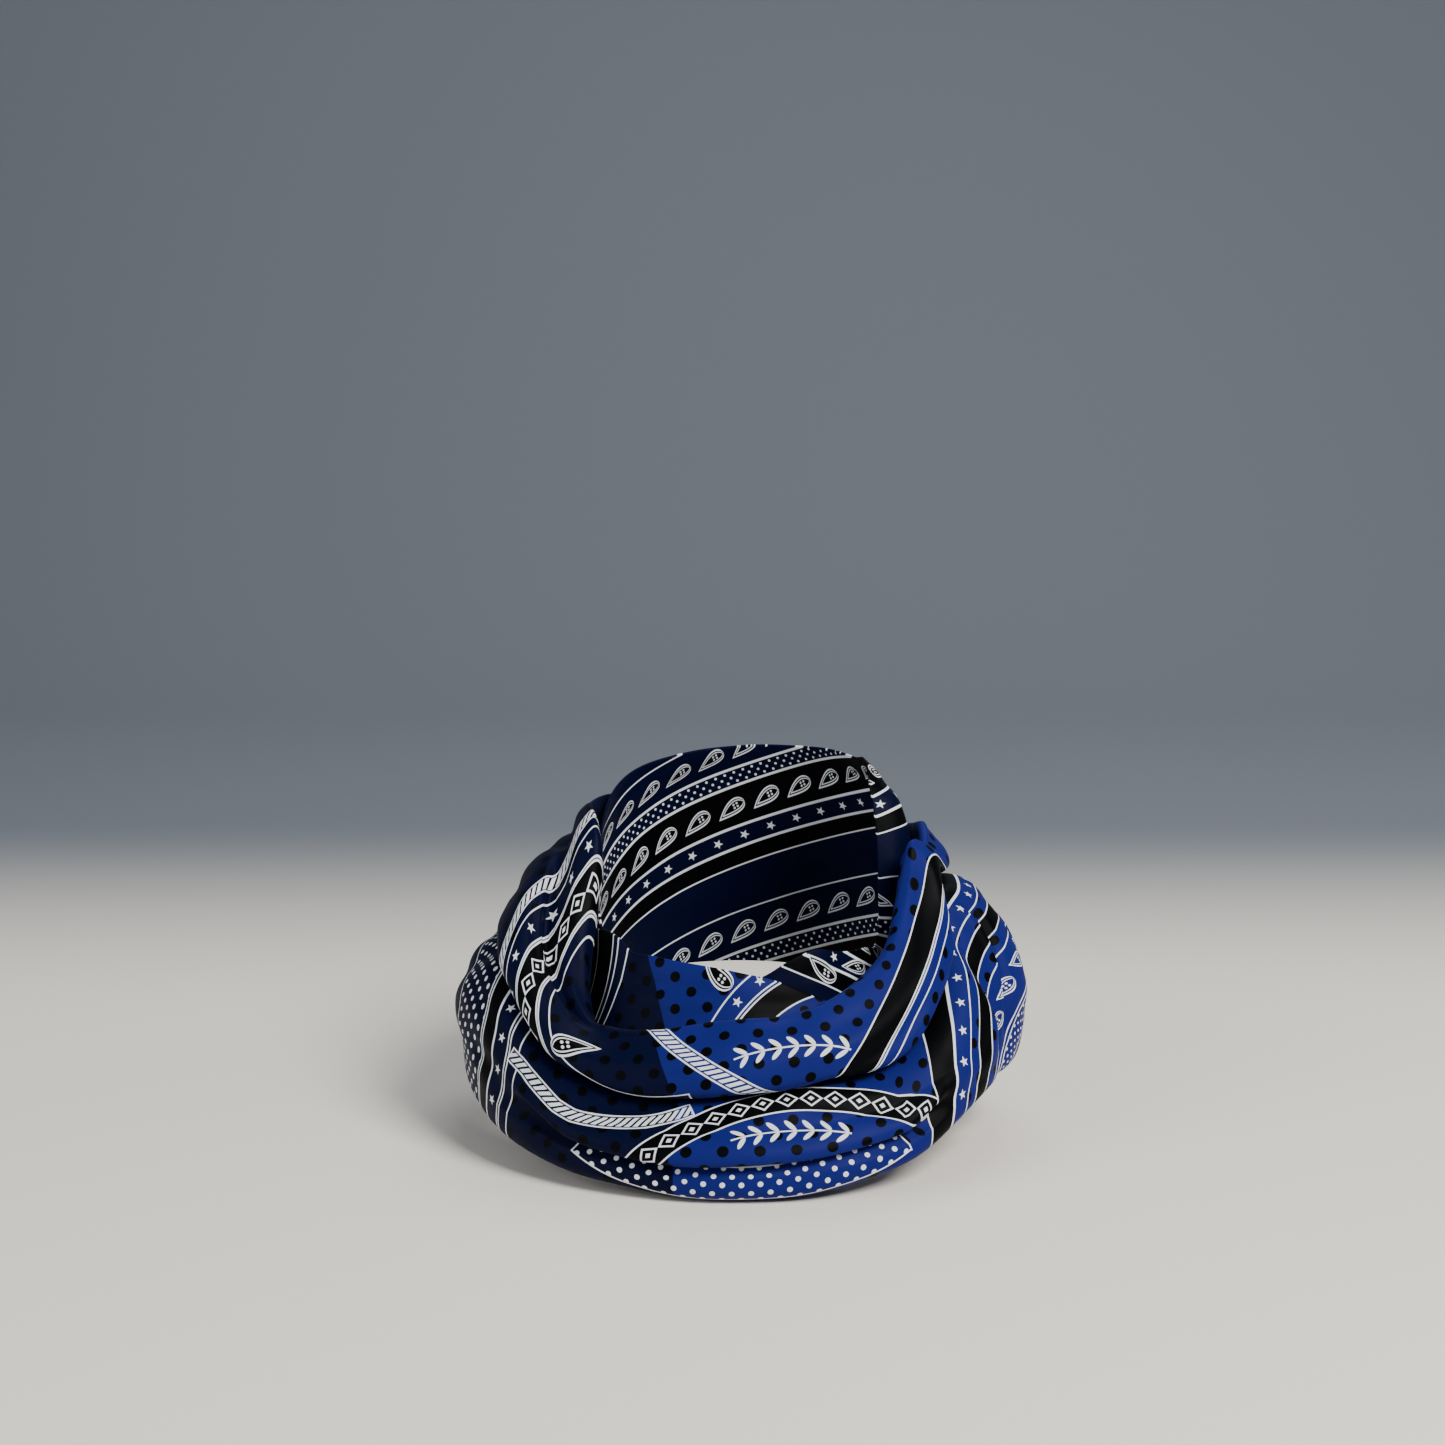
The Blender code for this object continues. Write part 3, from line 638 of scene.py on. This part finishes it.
def drape_points(azimuths):
    """From a root under the cowl's lip, over brow, belly, pleat and hem, and back underneath."""
    crest, brow, belly, tier, hem = guide_lines(DRAPE, azimuths)
    under = [hem + step for step in np.array(DRAPE_UNDER_HEM)]
    guides = [crest + DRAPE_ROOT, crest, brow, belly, tier, hem, *under]
    strength = np.interp(azimuths, PLEAT_AZIMUTHS, PLEAT_STRENGTHS)[:, None]
    before, samples = sum(DRAPE_SPANS[:3]), DRAPE_SPANS[3]
    swing = np.linspace(-1.0, 1.0, samples + 1)[None, :-1]
    share = 0.5 + 0.5 * (swing - PLEAT_SHIFT * strength * np.sin(np.pi * swing))
    sections = smooth_section(guides, even(*DRAPE_SPANS[:3]) + [share] + even(*DRAPE_SPANS[4:]))
    outwards = unit((tier - belly) @ np.array([[0.0, 1.0], [-1.0, 0.0]]))[:, None]
    rounding = PLEAT_ROUNDING * ramp(*PLEAT_ROUNDS_FROM, strength)
    wave = np.sin(np.pi * swing) - rounding * np.sin(2 * np.pi * swing)
    lift = -PLEAT_LIFT * np.sin(np.pi / 2 * np.minimum(PLEAT_LIFTS_BY * strength, 1.0))
    lift = lift * wave / (1.0 + PLEAT_ROUNDING_LOSS * rounding)
    sections[:, before : before + samples] += lift[..., None] * outwards
    share = section_share(DRAPE_SPANS, COARSE_DRAPE_SPANS)
    return around_opening(azimuths, sink_furrows(azimuths, sections, share, DRAPE_FURROWS))


def laid_flat(points, front):
    """Where each point lies, in mm, when the wrap is unrolled section by section into a plane.

    A section becomes a straight line of its own length. From one section to the next, the line turns
    by the rate at which their distance grows down the section, and moves by the mean distance.
    """
    down = np.linalg.norm(np.diff(points, axis=1), axis=2)
    down = np.concatenate([np.zeros((len(points), 1)), np.cumsum(down, axis=1)], axis=1)
    centre = down.mean(axis=1, keepdims=True)
    step = np.diff(points, axis=0)
    tangent = unit(np.gradient(points, axis=1))
    tangent = 0.5 * (tangent[1:] + tangent[:-1])
    slip = (step * tangent).sum(axis=2)
    gap = np.sqrt(np.maximum((step**2).sum(axis=2) - slip**2, 0.0))
    off = 0.5 * (down[1:] + down[:-1]) - 0.5 * (centre[1:] + centre[:-1])
    turn = (gap * off).sum(axis=1) / (off**2).sum(axis=1)
    angle = np.concatenate([[0.0], np.cumsum(turn)])
    angle -= angle[front]
    between = 0.5 * (angle[1:] + angle[:-1])
    across, along = gap.mean(axis=1), slip.mean(axis=1)
    sine, cosine = np.sin(between), np.cos(between)
    moves = np.stack([across * cosine + along * sine, across * sine - along * cosine], axis=1)
    middle = np.concatenate([[[0.0, 0.0]], np.cumsum(moves, axis=0)])
    middle -= middle[front] + [0.0, centre[front, 0]]
    reach = (down - centre)[..., None] * np.stack([np.sin(angle), -np.cos(angle)], axis=1)[:, None]
    return middle[:, None] + reach


def cubic(places, count):
    """Points of the cubic that runs through four places at even steps of its parameter."""
    step = np.linspace(0.0, 3.0, count)[:, None]
    weights = (
        -(step - 1) * (step - 2) * (step - 3) / 6,
        step * (step - 2) * (step - 3) / 2,
        -step * (step - 1) * (step - 3) / 2,
        step * (step - 1) * (step - 2) / 6,
    )
    return sum(weight * place for weight, place in zip(weights, places))


def crease_rise(flat, table):
    """How far each point stands out, in mm, for soft creases drawn as curves on the flat cloth.

    The place on the crease nearest to a point gives the way along it and the distance beside it.
    Beside its line a crease falls off as a bell of its own width, with its lip and banks as
    further bells, and along it the depth fades in and out over the first and last part.
    """
    rise = np.zeros(flat.shape[:2])
    for depth, width, lip, *numbers in table:
        line = cubic(np.array(numbers, float).reshape(4, 2), CREASE_STEPS)
        nearest = np.full(rise.shape, np.inf)
        beside, way = np.zeros(rise.shape), np.zeros(rise.shape)
        for step, (start, end) in enumerate(zip(line[:-1], line[1:])):
            run = end - start
            off = flat - start
            share = np.clip(off @ run / (run @ run), 0.0, 1.0)
            apart = off - share[..., None] * run
            distance = np.linalg.norm(apart, axis=-1)
            side = np.sign(run[0] * off[..., 1] - run[1] * off[..., 0])
            closer = distance < nearest
            nearest = np.where(closer, distance, nearest)
            beside = np.where(closer, side * distance, beside)
            way = np.where(closer, (step + share) / (CREASE_STEPS - 1), way)
        fade = ramp(0.0, CREASE_FADE, way) * ramp(1.0, 1.0 - CREASE_FADE, way)
        bell = np.exp(-((beside / width) ** 2))
        bank = np.exp(-((nearest / width - CREASE_BANK_AT) ** 2))
        lip_bell = np.exp(-((beside / width + CREASE_LIP_AT) ** 2))
        rise -= fade * (depth * (bell - CREASE_BANK * bank) - lip * lip_bell)
    return rise


def slack_rise(azimuths, down, table):
    """Slow waves of slack cloth: each row is a sine over turns round the opening and the way down."""
    rise = np.zeros((len(azimuths), down.shape[-1]))
    turn = np.radians(azimuths)[:, None]
    for waves_round, waves_down, phase, height in table:
        rise += height * np.sin(waves_round * turn + TAU * (waves_down * down + phase))
    return rise


def wall_thickness(points, normals, closed):
    """The cloth's thickness, less where the wrap bends more sharply than the cloth is thick.

    A step on the inner face is the outer step times 1 minus the bend, which is thickness over radius.
    """
    inner = points - CLOTH * normals
    bend = np.full(points.shape[:2], BEND_SHARE)
    for axis in (0, 1):
        outer_step = np.roll(points, -1, axis) - points
        inner_step = np.roll(inner, -1, axis) - inner
        turn = 1.0 - (inner_step * outer_step).sum(axis=2) / (outer_step**2).sum(axis=2)
        if axis or not closed:
            turn.swapaxes(0, axis)[-1] = 0.0
        bend = np.maximum(bend, np.maximum(turn, np.roll(turn, 1, axis)))
    thickness = CLOTH * BEND_SHARE / bend
    for _ in range(BEND_EASINGS):
        beside = sum(np.roll(thickness, way, axis) for way in (-1, 1) for axis in (0, 1)) / 4
        thickness = np.minimum(thickness, beside)
    return thickness[..., None]


def cloth_shell(name, points, flat, closed):
    """A closed shell: the grid, round rims, and an inner face one thickness in.

    A rim point stands off the middle of the wall by half its thickness, at an angle from outer to inner.
    An open wrap has its two ends closed by faces between the outer and inner loops.
    """
    normals = surface_normals(points, closed)
    thickness = wall_thickness(points, normals, closed)
    half = 0.5 * thickness
    middle = points - half * normals
    tangent = unit(np.gradient(points, axis=1))
    rim = np.radians(RIM_ANGLES)[:, None, None]
    low = middle[:, -1] + half[:, -1] * (np.cos(rim) * normals[:, -1] + np.sin(rim) * tangent[:, -1])
    high = middle[:, 0] + half[:, 0] * (np.cos(rim) * normals[:, 0] - np.sin(rim) * tangent[:, 0])
    inner = (points - thickness * normals)[:, ::-1]
    grid = np.concatenate([points, low.swapaxes(0, 1), inner, high[::-1].swapaxes(0, 1)], axis=1)
    rims = [np.repeat(flat[:, [edge]], len(RIM_ANGLES), axis=1) for edge in (-1, 0)]
    place = np.concatenate([flat, rims[0], flat[:, ::-1], rims[1]], axis=1)
    stations, loop = grid.shape[:2]
    ids = np.arange(stations * loop).reshape(stations, loop)
    around = np.concatenate([ids, ids[:, :1]], axis=1)
    if closed:
        place = np.concatenate([place, 2 * place[-1:] - place[-2:-1]])
        numbers = np.arange((stations + 1) * loop).reshape(stations + 1, loop)
        quads = grid_faces(np.vstack([around, around[:1]]))
        corners = grid_faces(np.concatenate([numbers, numbers[:, :1]], axis=1))
        triangles = np.zeros((0, 3), int)
    else:
        ends = [end_faces(loop_ids, points.shape[1]) for loop_ids in (ids[0], ids[-1])]
        quads = np.concatenate([grid_faces(around), ends[0][0][:, ::-1], ends[1][0]])
        triangles = np.concatenate([ends[0][1][:, ::-1], ends[1][1]])
        corners = quads
    spots = place.reshape(-1, 2) * MM
    places = np.concatenate([spots[corners.reshape(-1)], spots[triangles.reshape(-1)]])
    return shell_mesh(name, grid.reshape(-1, 3) * MM, quads, triangles, places)


def in_scene(name, data):
    """A new object of the scene."""
    made = bpy.data.objects.new(name, data)
    bpy.context.scene.collection.objects.link(made)
    return made


def shell_mesh(name, vertices, quads, triangles, places):
    """A smooth mesh of these faces, with each corner's cloth place, in metres, in its UV map."""
    mesh = bpy.data.meshes.new(name)
    mesh.vertices.add(len(vertices))
    mesh.vertices.foreach_set("co", vertices.astype(np.float32).reshape(-1))
    loops = np.concatenate([quads.reshape(-1), triangles.reshape(-1)])
    mesh.loops.add(len(loops))
    mesh.loops.foreach_set("vertex_index", loops.astype(np.int32))
    sizes = np.concatenate([np.full(len(quads), 4), np.full(len(triangles), 3)])
    mesh.polygons.add(len(sizes))
    mesh.polygons.foreach_set("loop_start", (np.cumsum(sizes) - sizes).astype(np.int32))
    layer = mesh.uv_layers.new(name=CLOTH_MAP)
    layer.data.foreach_set("uv", places.astype(np.float32).reshape(-1))
    mesh.update(calc_edges=True)
    mesh.shade_smooth()
    return in_scene(name, mesh)


def grid_faces(ids):
    """Faces of a grid, turned so that they look along the grid's normals."""
    corners = [ids[:-1, :-1], ids[:-1, 1:], ids[1:, 1:], ids[1:, :-1]]
    return np.stack(corners, axis=-1).reshape(-1, 4)


def end_faces(loop, count):
    """Quads between each outer point and the inner one behind it, and a triangle at each rim's tip.

    The loop is folded at the middle points of its two rims, which pairs its outer and inner sides.
    """
    half_rim = len(RIM_ANGLES) // 2
    folded = np.roll(loop, half_rim + 1)
    outer = folded[1 : count + 2 * half_rim + 1]
    inner = folded[count + 2 * half_rim + 2 :][::-1]
    quads = np.stack([outer[:-1], outer[1:], inner[1:], inner[:-1]], axis=-1)
    top, bottom = folded[0], folded[count + 2 * half_rim + 1]
    return quads, np.array([[top, outer[0], inner[0]], [outer[-1], bottom, inner[-1]]])


def wraps():
    """Each wrap's points, cloth places and whether it closes on itself."""
    shapes = (collar_points, inner_fold_points, cowl_points, drape_points)
    laid = {}
    for (name, count), shape in zip(STATIONS.items(), shapes):
        closed = name in SEAMS
        ends = INNER_FOLD[0][0], INNER_FOLD[-1][0]
        azimuths = ring_azimuths(count) if closed else np.linspace(*ends, count)
        points = shape(azimuths)
        if closed:
            first = np.abs(azimuths - SEAMS[name]).argmin()
            points, azimuths = np.roll(points, -first, axis=0), np.roll(azimuths, -first)
        flat = laid_flat(points, np.abs(azimuths).argmin())
        down = np.linspace(0.0, 1.0, points.shape[1])[None, :]
        steps = np.arange(len(azimuths))[:, None]
        ease = ramp(0, SEAM_EASE, steps) * ramp(0, SEAM_EASE, steps[::-1])
        rise = ease * crease_rise(flat, CREASES[name]) + slack_rise(azimuths, down, SLACK[name])
        if name == "cowl":
            rise *= ramp(*COWL_ROOT_EASE, down)
        points = points + rise[..., None] * surface_normals(points, closed)
        laid[name] = (points, flat, closed)
    return laid


def arithmetic(operation, *fixed):
    """A method of a number, which adds this operation to its node tree."""
    return lambda number, *others: number.worked(operation, *fixed, *others)


class Number:
    """A number that a node tree works out: arithmetic on it adds nodes."""

    def __init__(self, socket):
        self.socket = socket
        self.tree = socket.id_data

    def worked(self, operation, *others):
        """What one math node makes of this number and the others."""
        node = self.tree.nodes.new("ShaderNodeMath")
        node.operation = operation
        for socket, value in zip(node.inputs, (self, *others)):
            feed(socket, value)
        return Number(node.outputs[0])

    __add__ = arithmetic("ADD")
    __sub__ = arithmetic("SUBTRACT")
    __rsub__ = arithmetic("MULTIPLY_ADD", -1.0)
    __mul__ = arithmetic("MULTIPLY")
    __truediv__ = arithmetic("DIVIDE")
    __neg__ = arithmetic("MULTIPLY", -1.0)
    __abs__ = arithmetic("ABSOLUTE")
    root = arithmetic("SQRT")
    least = arithmetic("MINIMUM")
    most = arithmetic("MAXIMUM")

    def repeat(self, pitch):
        """The distance from the nearest whole number of pitches."""
        return ((self / pitch + 0.5).worked("FRACT") - 0.5) * pitch


def feed(socket, value):
    """Links a number or a socket, or sets a plain value."""
    value = value.socket if isinstance(value, Number) else value
    if isinstance(value, bpy.types.NodeSocket):
        socket.id_data.links.new(value, socket)
    else:
        socket.default_value = value


def mixed(mask, below, above):
    """The colour below, with the colour above laid over it where the mask is 1."""
    node = mask.tree.nodes.new("ShaderNodeMix")
    node.data_type = "RGBA"
    feed(node.inputs["Factor"], mask)
    for socket, value in ((node.inputs[6], below), (node.inputs[7], above)):
        feed(socket, value if isinstance(value, bpy.types.NodeSocket) else (*value, 1.0))
    return node.outputs[2]


def smooth_map(value, start, end):
    """A value that goes smoothly from 0 at the start to 1 at the end."""
    node = value.tree.nodes.new("ShaderNodeMapRange")
    node.interpolation_type = "SMOOTHSTEP"
    for title, fed in (("Value", value), ("From Min", start), ("From Max", end)):
        feed(node.inputs[title], fed)
    return Number(node.outputs["Result"])


def inked(distance):
    """A mask that is 1 inside, where the distance in mm is below 0, with a soft edge."""
    return smooth_map(distance, INK_EDGE, -INK_EDGE)


def reach(x, y):
    """How far a place is from the origin."""
    return (x * x + y * y).root()


def effect(formula, titles):
    """A shared node group, named as its formula, from these numbers to named masks and values."""
    tree = bpy.data.node_groups.new(formula.__name__, "ShaderNodeTree")
    for title in titles:
        tree.interface.new_socket(title, in_out="INPUT", socket_type="NodeSocketFloat")
    given = tree.nodes.new("NodeGroupInput")
    results = formula(*(Number(given.outputs[title]) for title in titles))
    for title in results:
        tree.interface.new_socket(title, in_out="OUTPUT", socket_type="NodeSocketFloat")
    made = tree.nodes.new("NodeGroupOutput")
    for title, value in results.items():
        feed(made.inputs[title], value)
    return tree


def placed(group, first, *others):
    """One use of a shared effect, fed in the order of its inputs: the numbers that come out, by name."""
    node = first.tree.nodes.new("ShaderNodeGroup")
    node.node_tree = group
    for socket, value in zip(node.inputs, (first, *others)):
        feed(socket, value)
    return {socket.name: Number(socket) for socket in node.outputs}


def arc_band(x, y, centre_x, centre_y, radius, cosine, sine, half_length, half_width):
    """A band along a circle's arc: how far a place is along and across it, its inside and its piping."""
    x, y = x - centre_x, y - centre_y
    along = (y * cosine - x * sine).worked("ARCTAN2", x * cosine + y * sine) * radius
    across = reach(x, y) - radius
    distance = (abs(across) - half_width).most(abs(along) - half_length)
    masks = {"inside": inked(distance), "piping": inked(abs(distance) - PIPING)}
    return {**masks, "along": along, "across": across}


def dots(along, across, pitch, size):
    """Round dots on a square lattice that is turned by 45 degrees."""
    a = ((along + across) * HALF_ROOT).repeat(pitch)
    b = ((along - across) * HALF_ROOT).repeat(pitch)
    return {"figure": inked(reach(a, b) - size)}


def stars(along, across, pitch, size):
    """A row of stars: the angle is folded into half a point, whose edge is a straight line."""
    x = along.repeat(pitch)
    half_point = np.pi / STAR_POINTS
    folded = abs(x.worked("ARCTAN2", across).worked("WRAP", half_point, -half_point))
    way = reach(x, across)
    tip_way, side_way = way * folded.worked("COSINE"), way * folded.worked("SINE")
    return {"figure": inked((tip_way - size) * STAR_EDGE[0] + side_way * STAR_EDGE[1])}


def chain(along, across, pitch, size):
    """A chain of lozenges with a bud in each: the level is |along| / half pitch + |across| / size."""
    level = abs(along.repeat(pitch)) / (pitch * 0.5) + abs(across) / size
    line = abs(level - CHAIN_LINE[0]) - CHAIN_LINE[1]
    return {"figure": inked(line.least(level - CHAIN_BUD) * size)}


def rings(along, across, pitch, size):
    """A row of rings that nearly touch, with a dot in each."""
    way = reach(along.repeat(pitch), across)
    return {"figure": inked((abs(way - size) - RING_LINE).least(way - size * RING_BUD))}


def cord(along, across, pitch, size):
    """A twisted cord: strands that slant across a band, with thin gaps between them."""
    strand = abs((across * CORD_LEAN + along).repeat(pitch)) - pitch * CORD_STRAND
    return {"figure": inked(strand.most(abs(across) - size))}


def leaves(along, across, pitch, size):
    """A sprig: a thin stem with pairs of leaves, each an ellipse that leans away from the stem."""
    x, y = along.repeat(pitch) + LEAF_BACK, abs(across)
    u = (x * np.cos(LEAF_LEAN) + y * np.sin(LEAF_LEAN) - LEAF_START) / size
    v = (y * np.cos(LEAF_LEAN) - x * np.sin(LEAF_LEAN)) / LEAF_WIDTH
    leaf = (reach(u, v) - 1.0) * LEAF_WIDTH
    return {"figure": inked(leaf.least(y - STEM))}


def paisleys(along, across, pitch, size):
    """A row of bent drops, with t from 0 at the round end to 1 at the tip.

    The half width is size * fullness * sqrt(t) * (1 - t). Lines follow the edge at two depths, and four
    seeds lie in the belly.
    """
    t = along.repeat(pitch) / size + PAISLEY_BASE
    held = t.most(0.0).least(1.0)
    off = abs(across / size - held * held * PAISLEY_CURL + PAISLEY_SHIFT)
    width = held.root() * (1.0 - held) * PAISLEY_FULLNESS
    depth = (width - off).least((0.5 - abs(t - 0.5)) * PAISLEY_CUT)
    edge, ring = (abs(depth - middle) - half for middle, half in PAISLEY_LINES)
    belly, seed_off, seed_along, seed_size = PAISLEY_SEEDS
    seed = reach(off - seed_off, abs(t - belly) - seed_along) - seed_size
    return {"figure": inked(edge.least(ring).least(seed) * size), "body": inked(-depth * size)}


def twill(x, y):
    """Fine ribs that slant across the cloth with slubs in them, and slow changes of tone and wear."""
    join = x.tree.nodes.new("ShaderNodeCombineXYZ")
    feed(join.inputs["X"], x)
    feed(join.inputs["Y"], y)
    made = {}
    for title, scale, detail in TWILL_NOISES:
        noise = x.tree.nodes.new("ShaderNodeTexNoise")
        for name, value in (("Scale", scale), ("Detail", detail), ("Vector", join.outputs["Vector"])):
            feed(noise.inputs[name], value)
        made[title] = Number(noise.outputs["Fac"])
    wave = ((y * TWILL_SLANT + x) * (TAU / TWILL_PITCH)).worked("SINE")
    return {"rib": wave * 0.5 + made.pop("slub"), **made}


def shared_effects():
    """The node groups that all the silks share, by name."""
    band = ("x", "y", "centre_x", "centre_y", "radius", "cosine", "sine", "half_length", "half_width")
    figure = ("along", "across", "pitch", "size")
    titles = {formula: figure for formula in (dots, stars, chain, rings, cord, leaves, paisleys)}
    titles |= {arc_band: band, twill: ("x", "y")}
    return {formula.__name__: effect(formula, names) for formula, names in titles.items()}


def cloth_place(tree):
    """The cloth place in millimetres, as two numbers."""
    source = tree.nodes.new("ShaderNodeUVMap")
    source.uv_map = CLOTH_MAP
    split = tree.nodes.new("ShaderNodeSeparateXYZ")
    feed(split.inputs["Vector"], source.outputs["UV"])
    return [Number(split.outputs[axis]) / MM for axis in ("X", "Y")]


def seam_bands(flat):
    """Two straight bands, one along each end of a ring, that make one where the ends meet."""
    arcs = []
    for end in (flat[0], 2 * flat[-1] - flat[-2]):
        down = unit(end[-1] - end[0])
        beside = np.array([-down[1], down[0]])
        centre = 0.5 * (end[0] + end[-1]) + STRAIGHT * beside
        middle = np.degrees(np.arctan2(-beside[1], -beside[0]))
        arcs.append(((*centre, middle), ("black", STRAIGHT, SEAM_BAND)))
    return arcs


def with_band(effects, place, colour, ground, arc, row):
    """The colour so far, with one band of the print laid over it."""
    centre_x, centre_y, middle = arc
    fill, radius, half_width, half_length = (*row, WHOLE)[:4]
    turn = np.radians(middle)
    circle = (centre_x, centre_y, radius, np.cos(turn), np.sin(turn))
    band = placed(effects["arc_band"], *place, *circle, half_length, half_width)
    filling = colour if fill in OPEN_FIGURES else BAND_GROUNDS.get(fill, ground)
    if fill in FIGURES:
        name, pitch, size = FIGURES[fill]
        figure = placed(effects[name], band["along"], band["across"], pitch, size)
        filling = mixed(figure["figure"], filling, CREAM)
    colour = mixed(band["inside"], colour, filling)
    return colour if fill in OPEN_FIGURES else mixed(band["piping"], colour, CREAM)


def with_paisley(effects, place, colour, row):
    """The colour so far, with a single paisley laid over it."""
    centre_x, centre_y, heading, size = row
    x, y = place[0] - centre_x, place[1] - centre_y
    turn = np.radians(heading)
    across, along = x * np.cos(turn) + y * np.sin(turn), y * np.cos(turn) - x * np.sin(turn)
    figure = placed(effects["paisleys"], along, across, ALONE, size)
    return mixed(figure["figure"], mixed(figure["body"], colour, INK_BLACK), CREAM)


def printed_silk(name, effects, design, seams):
    """Silk twill with its print: the ground, its polka dots, and the bands and paisleys over them."""
    material = bpy.data.materials.new(name)
    material.use_nodes = True
    tree = material.node_tree
    shader = tree.nodes["Principled BSDF"]
    place = cloth_place(tree)
    x, y = place
    split_at, slope = design["navy_left_of"]
    ground = mixed(inked(y * slope + x - split_at), ROYAL, NAVY)
    colour = ground
    if design["polka"]:
        polka = placed(effects["dots"], x, y, *POLKA)
        colour = mixed(polka["figure"], ground, INK_BLACK)
    for arc, *rows in (*design["arcs"], *seams):
        for row in rows:
            colour = with_band(effects, place, colour, ground, arc, row)
    for row in design["paisleys"]:
        colour = with_paisley(effects, place, colour, row)
    weave = placed(effects["twill"], x, y)
    tone = tree.nodes.new("ShaderNodeHueSaturation")
    feed(tone.inputs["Color"], colour)
    feed(tone.inputs["Value"], weave["tone"] * TONE[1] + TONE[0])
    feed(shader.inputs["Base Color"], tone.outputs["Color"])
    feed(shader.inputs["Roughness"], weave["wear"] * GLOSS[1] + GLOSS[0])
    bump = tree.nodes.new("ShaderNodeBump")
    bump.inputs["Strength"].default_value = BUMP_STRENGTH
    bump.inputs["Distance"].default_value = TWILL_RELIEF * MM
    feed(bump.inputs["Height"], weave["rib"])
    feed(shader.inputs["Normal"], bump.outputs["Normal"])
    for title, value in FINISH.items():
        shader.inputs[title].default_value = value
    return material


def show_wraps():
    """One finished piece for each wrap, in the place of its plain solid."""
    effects = shared_effects()
    for name, (points, flat, closed) in wraps().items():
        piece = cloth_shell(name + "_cloth", points, flat, closed)
        seams = seam_bands(flat) if name in BANDED_SEAMS else ()
        piece.data.materials.append(printed_silk(name + "_silk", effects, PRINTS[name], seams))
        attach(piece, "root")
        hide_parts(name)


def photo_camera():
    """A camera in front of the opening, ten degrees above it, that frames the photo's square."""
    data = bpy.data.cameras.new("photo_camera")
    camera = in_scene("photo_camera", data)
    tilt = np.radians(CAMERA_TILT)
    back = Vector((0.0, -np.cos(tilt), np.sin(tilt)))
    camera.location = Vector(CAMERA_TARGET) + CAMERA_DISTANCE * back
    camera.rotation_euler = (-back).to_track_quat("-Z", "Y").to_euler()
    data.sensor_width = SENSOR_WIDTH
    data.lens = SENSOR_WIDTH * CAMERA_DISTANCE / (PHOTO_SIDE * METRES_PER_PIXEL)
    bpy.context.scene.camera = camera


def soft_light(name, place, target, size, power, colour):
    """A square soft box that looks at a target."""
    data = bpy.data.lights.new(name, "AREA")
    data.size = size
    data.energy = power
    data.color = colour
    light = in_scene(name, data)
    light.location = place
    light.rotation_euler = (Vector(target) - Vector(place)).to_track_quat("-Z", "Y").to_euler()


def studio():
    """A pale floor that sweeps up behind, soft boxes on both sides and an even grey sky."""
    angle = np.linspace(0.0, np.pi / 2, FLOOR_BEND_STEPS)
    behind, above = FLOOR_BENDS_AT + FLOOR_BEND * np.sin(angle), FLOOR_BEND * (1 - np.cos(angle))
    profile = [(-FLOOR_SIDE, 0.0), *zip(behind, above), (FLOOR_BENDS_AT + FLOOR_BEND, WALL_TOP)]
    vertices = [(x, y, z + FLOOR_HEIGHT) for x in (-FLOOR_SIDE, FLOOR_SIDE) for y, z in profile]
    ids = np.arange(len(vertices)).reshape(2, -1)
    mesh = bpy.data.meshes.new("floor")
    mesh.from_pydata(vertices, [], grid_faces(ids)[:, ::-1].tolist())
    mesh.shade_smooth()
    floor = in_scene("floor", mesh)
    material = bpy.data.materials.new("floor")
    material.use_nodes = True
    tree = material.node_tree
    shader = tree.nodes["Principled BSDF"]
    shader.inputs["Roughness"].default_value = FLOOR_ROUGHNESS
    place = tree.nodes.new("ShaderNodeTexCoord")
    split = tree.nodes.new("ShaderNodeSeparateXYZ")
    feed(split.inputs["Vector"], place.outputs["Object"])
    back = smooth_map(Number(split.outputs["Y"]), *WALL_STARTS_AT)
    feed(shader.inputs["Base Color"], mixed(back, FLOOR_COLOUR, WALL_COLOUR))
    floor.data.materials.append(material)
    world = bpy.data.worlds.new("studio")
    world.use_nodes = True
    sky = world.node_tree.nodes["Background"]
    sky.inputs["Color"].default_value = (*SKY_COLOUR, 1.0)
    sky.inputs["Strength"].default_value = SKY_STRENGTH
    bpy.context.scene.world = world
    for light in SOFT_BOXES:
        soft_light(*light)


photo_camera()
studio()
show_wraps()
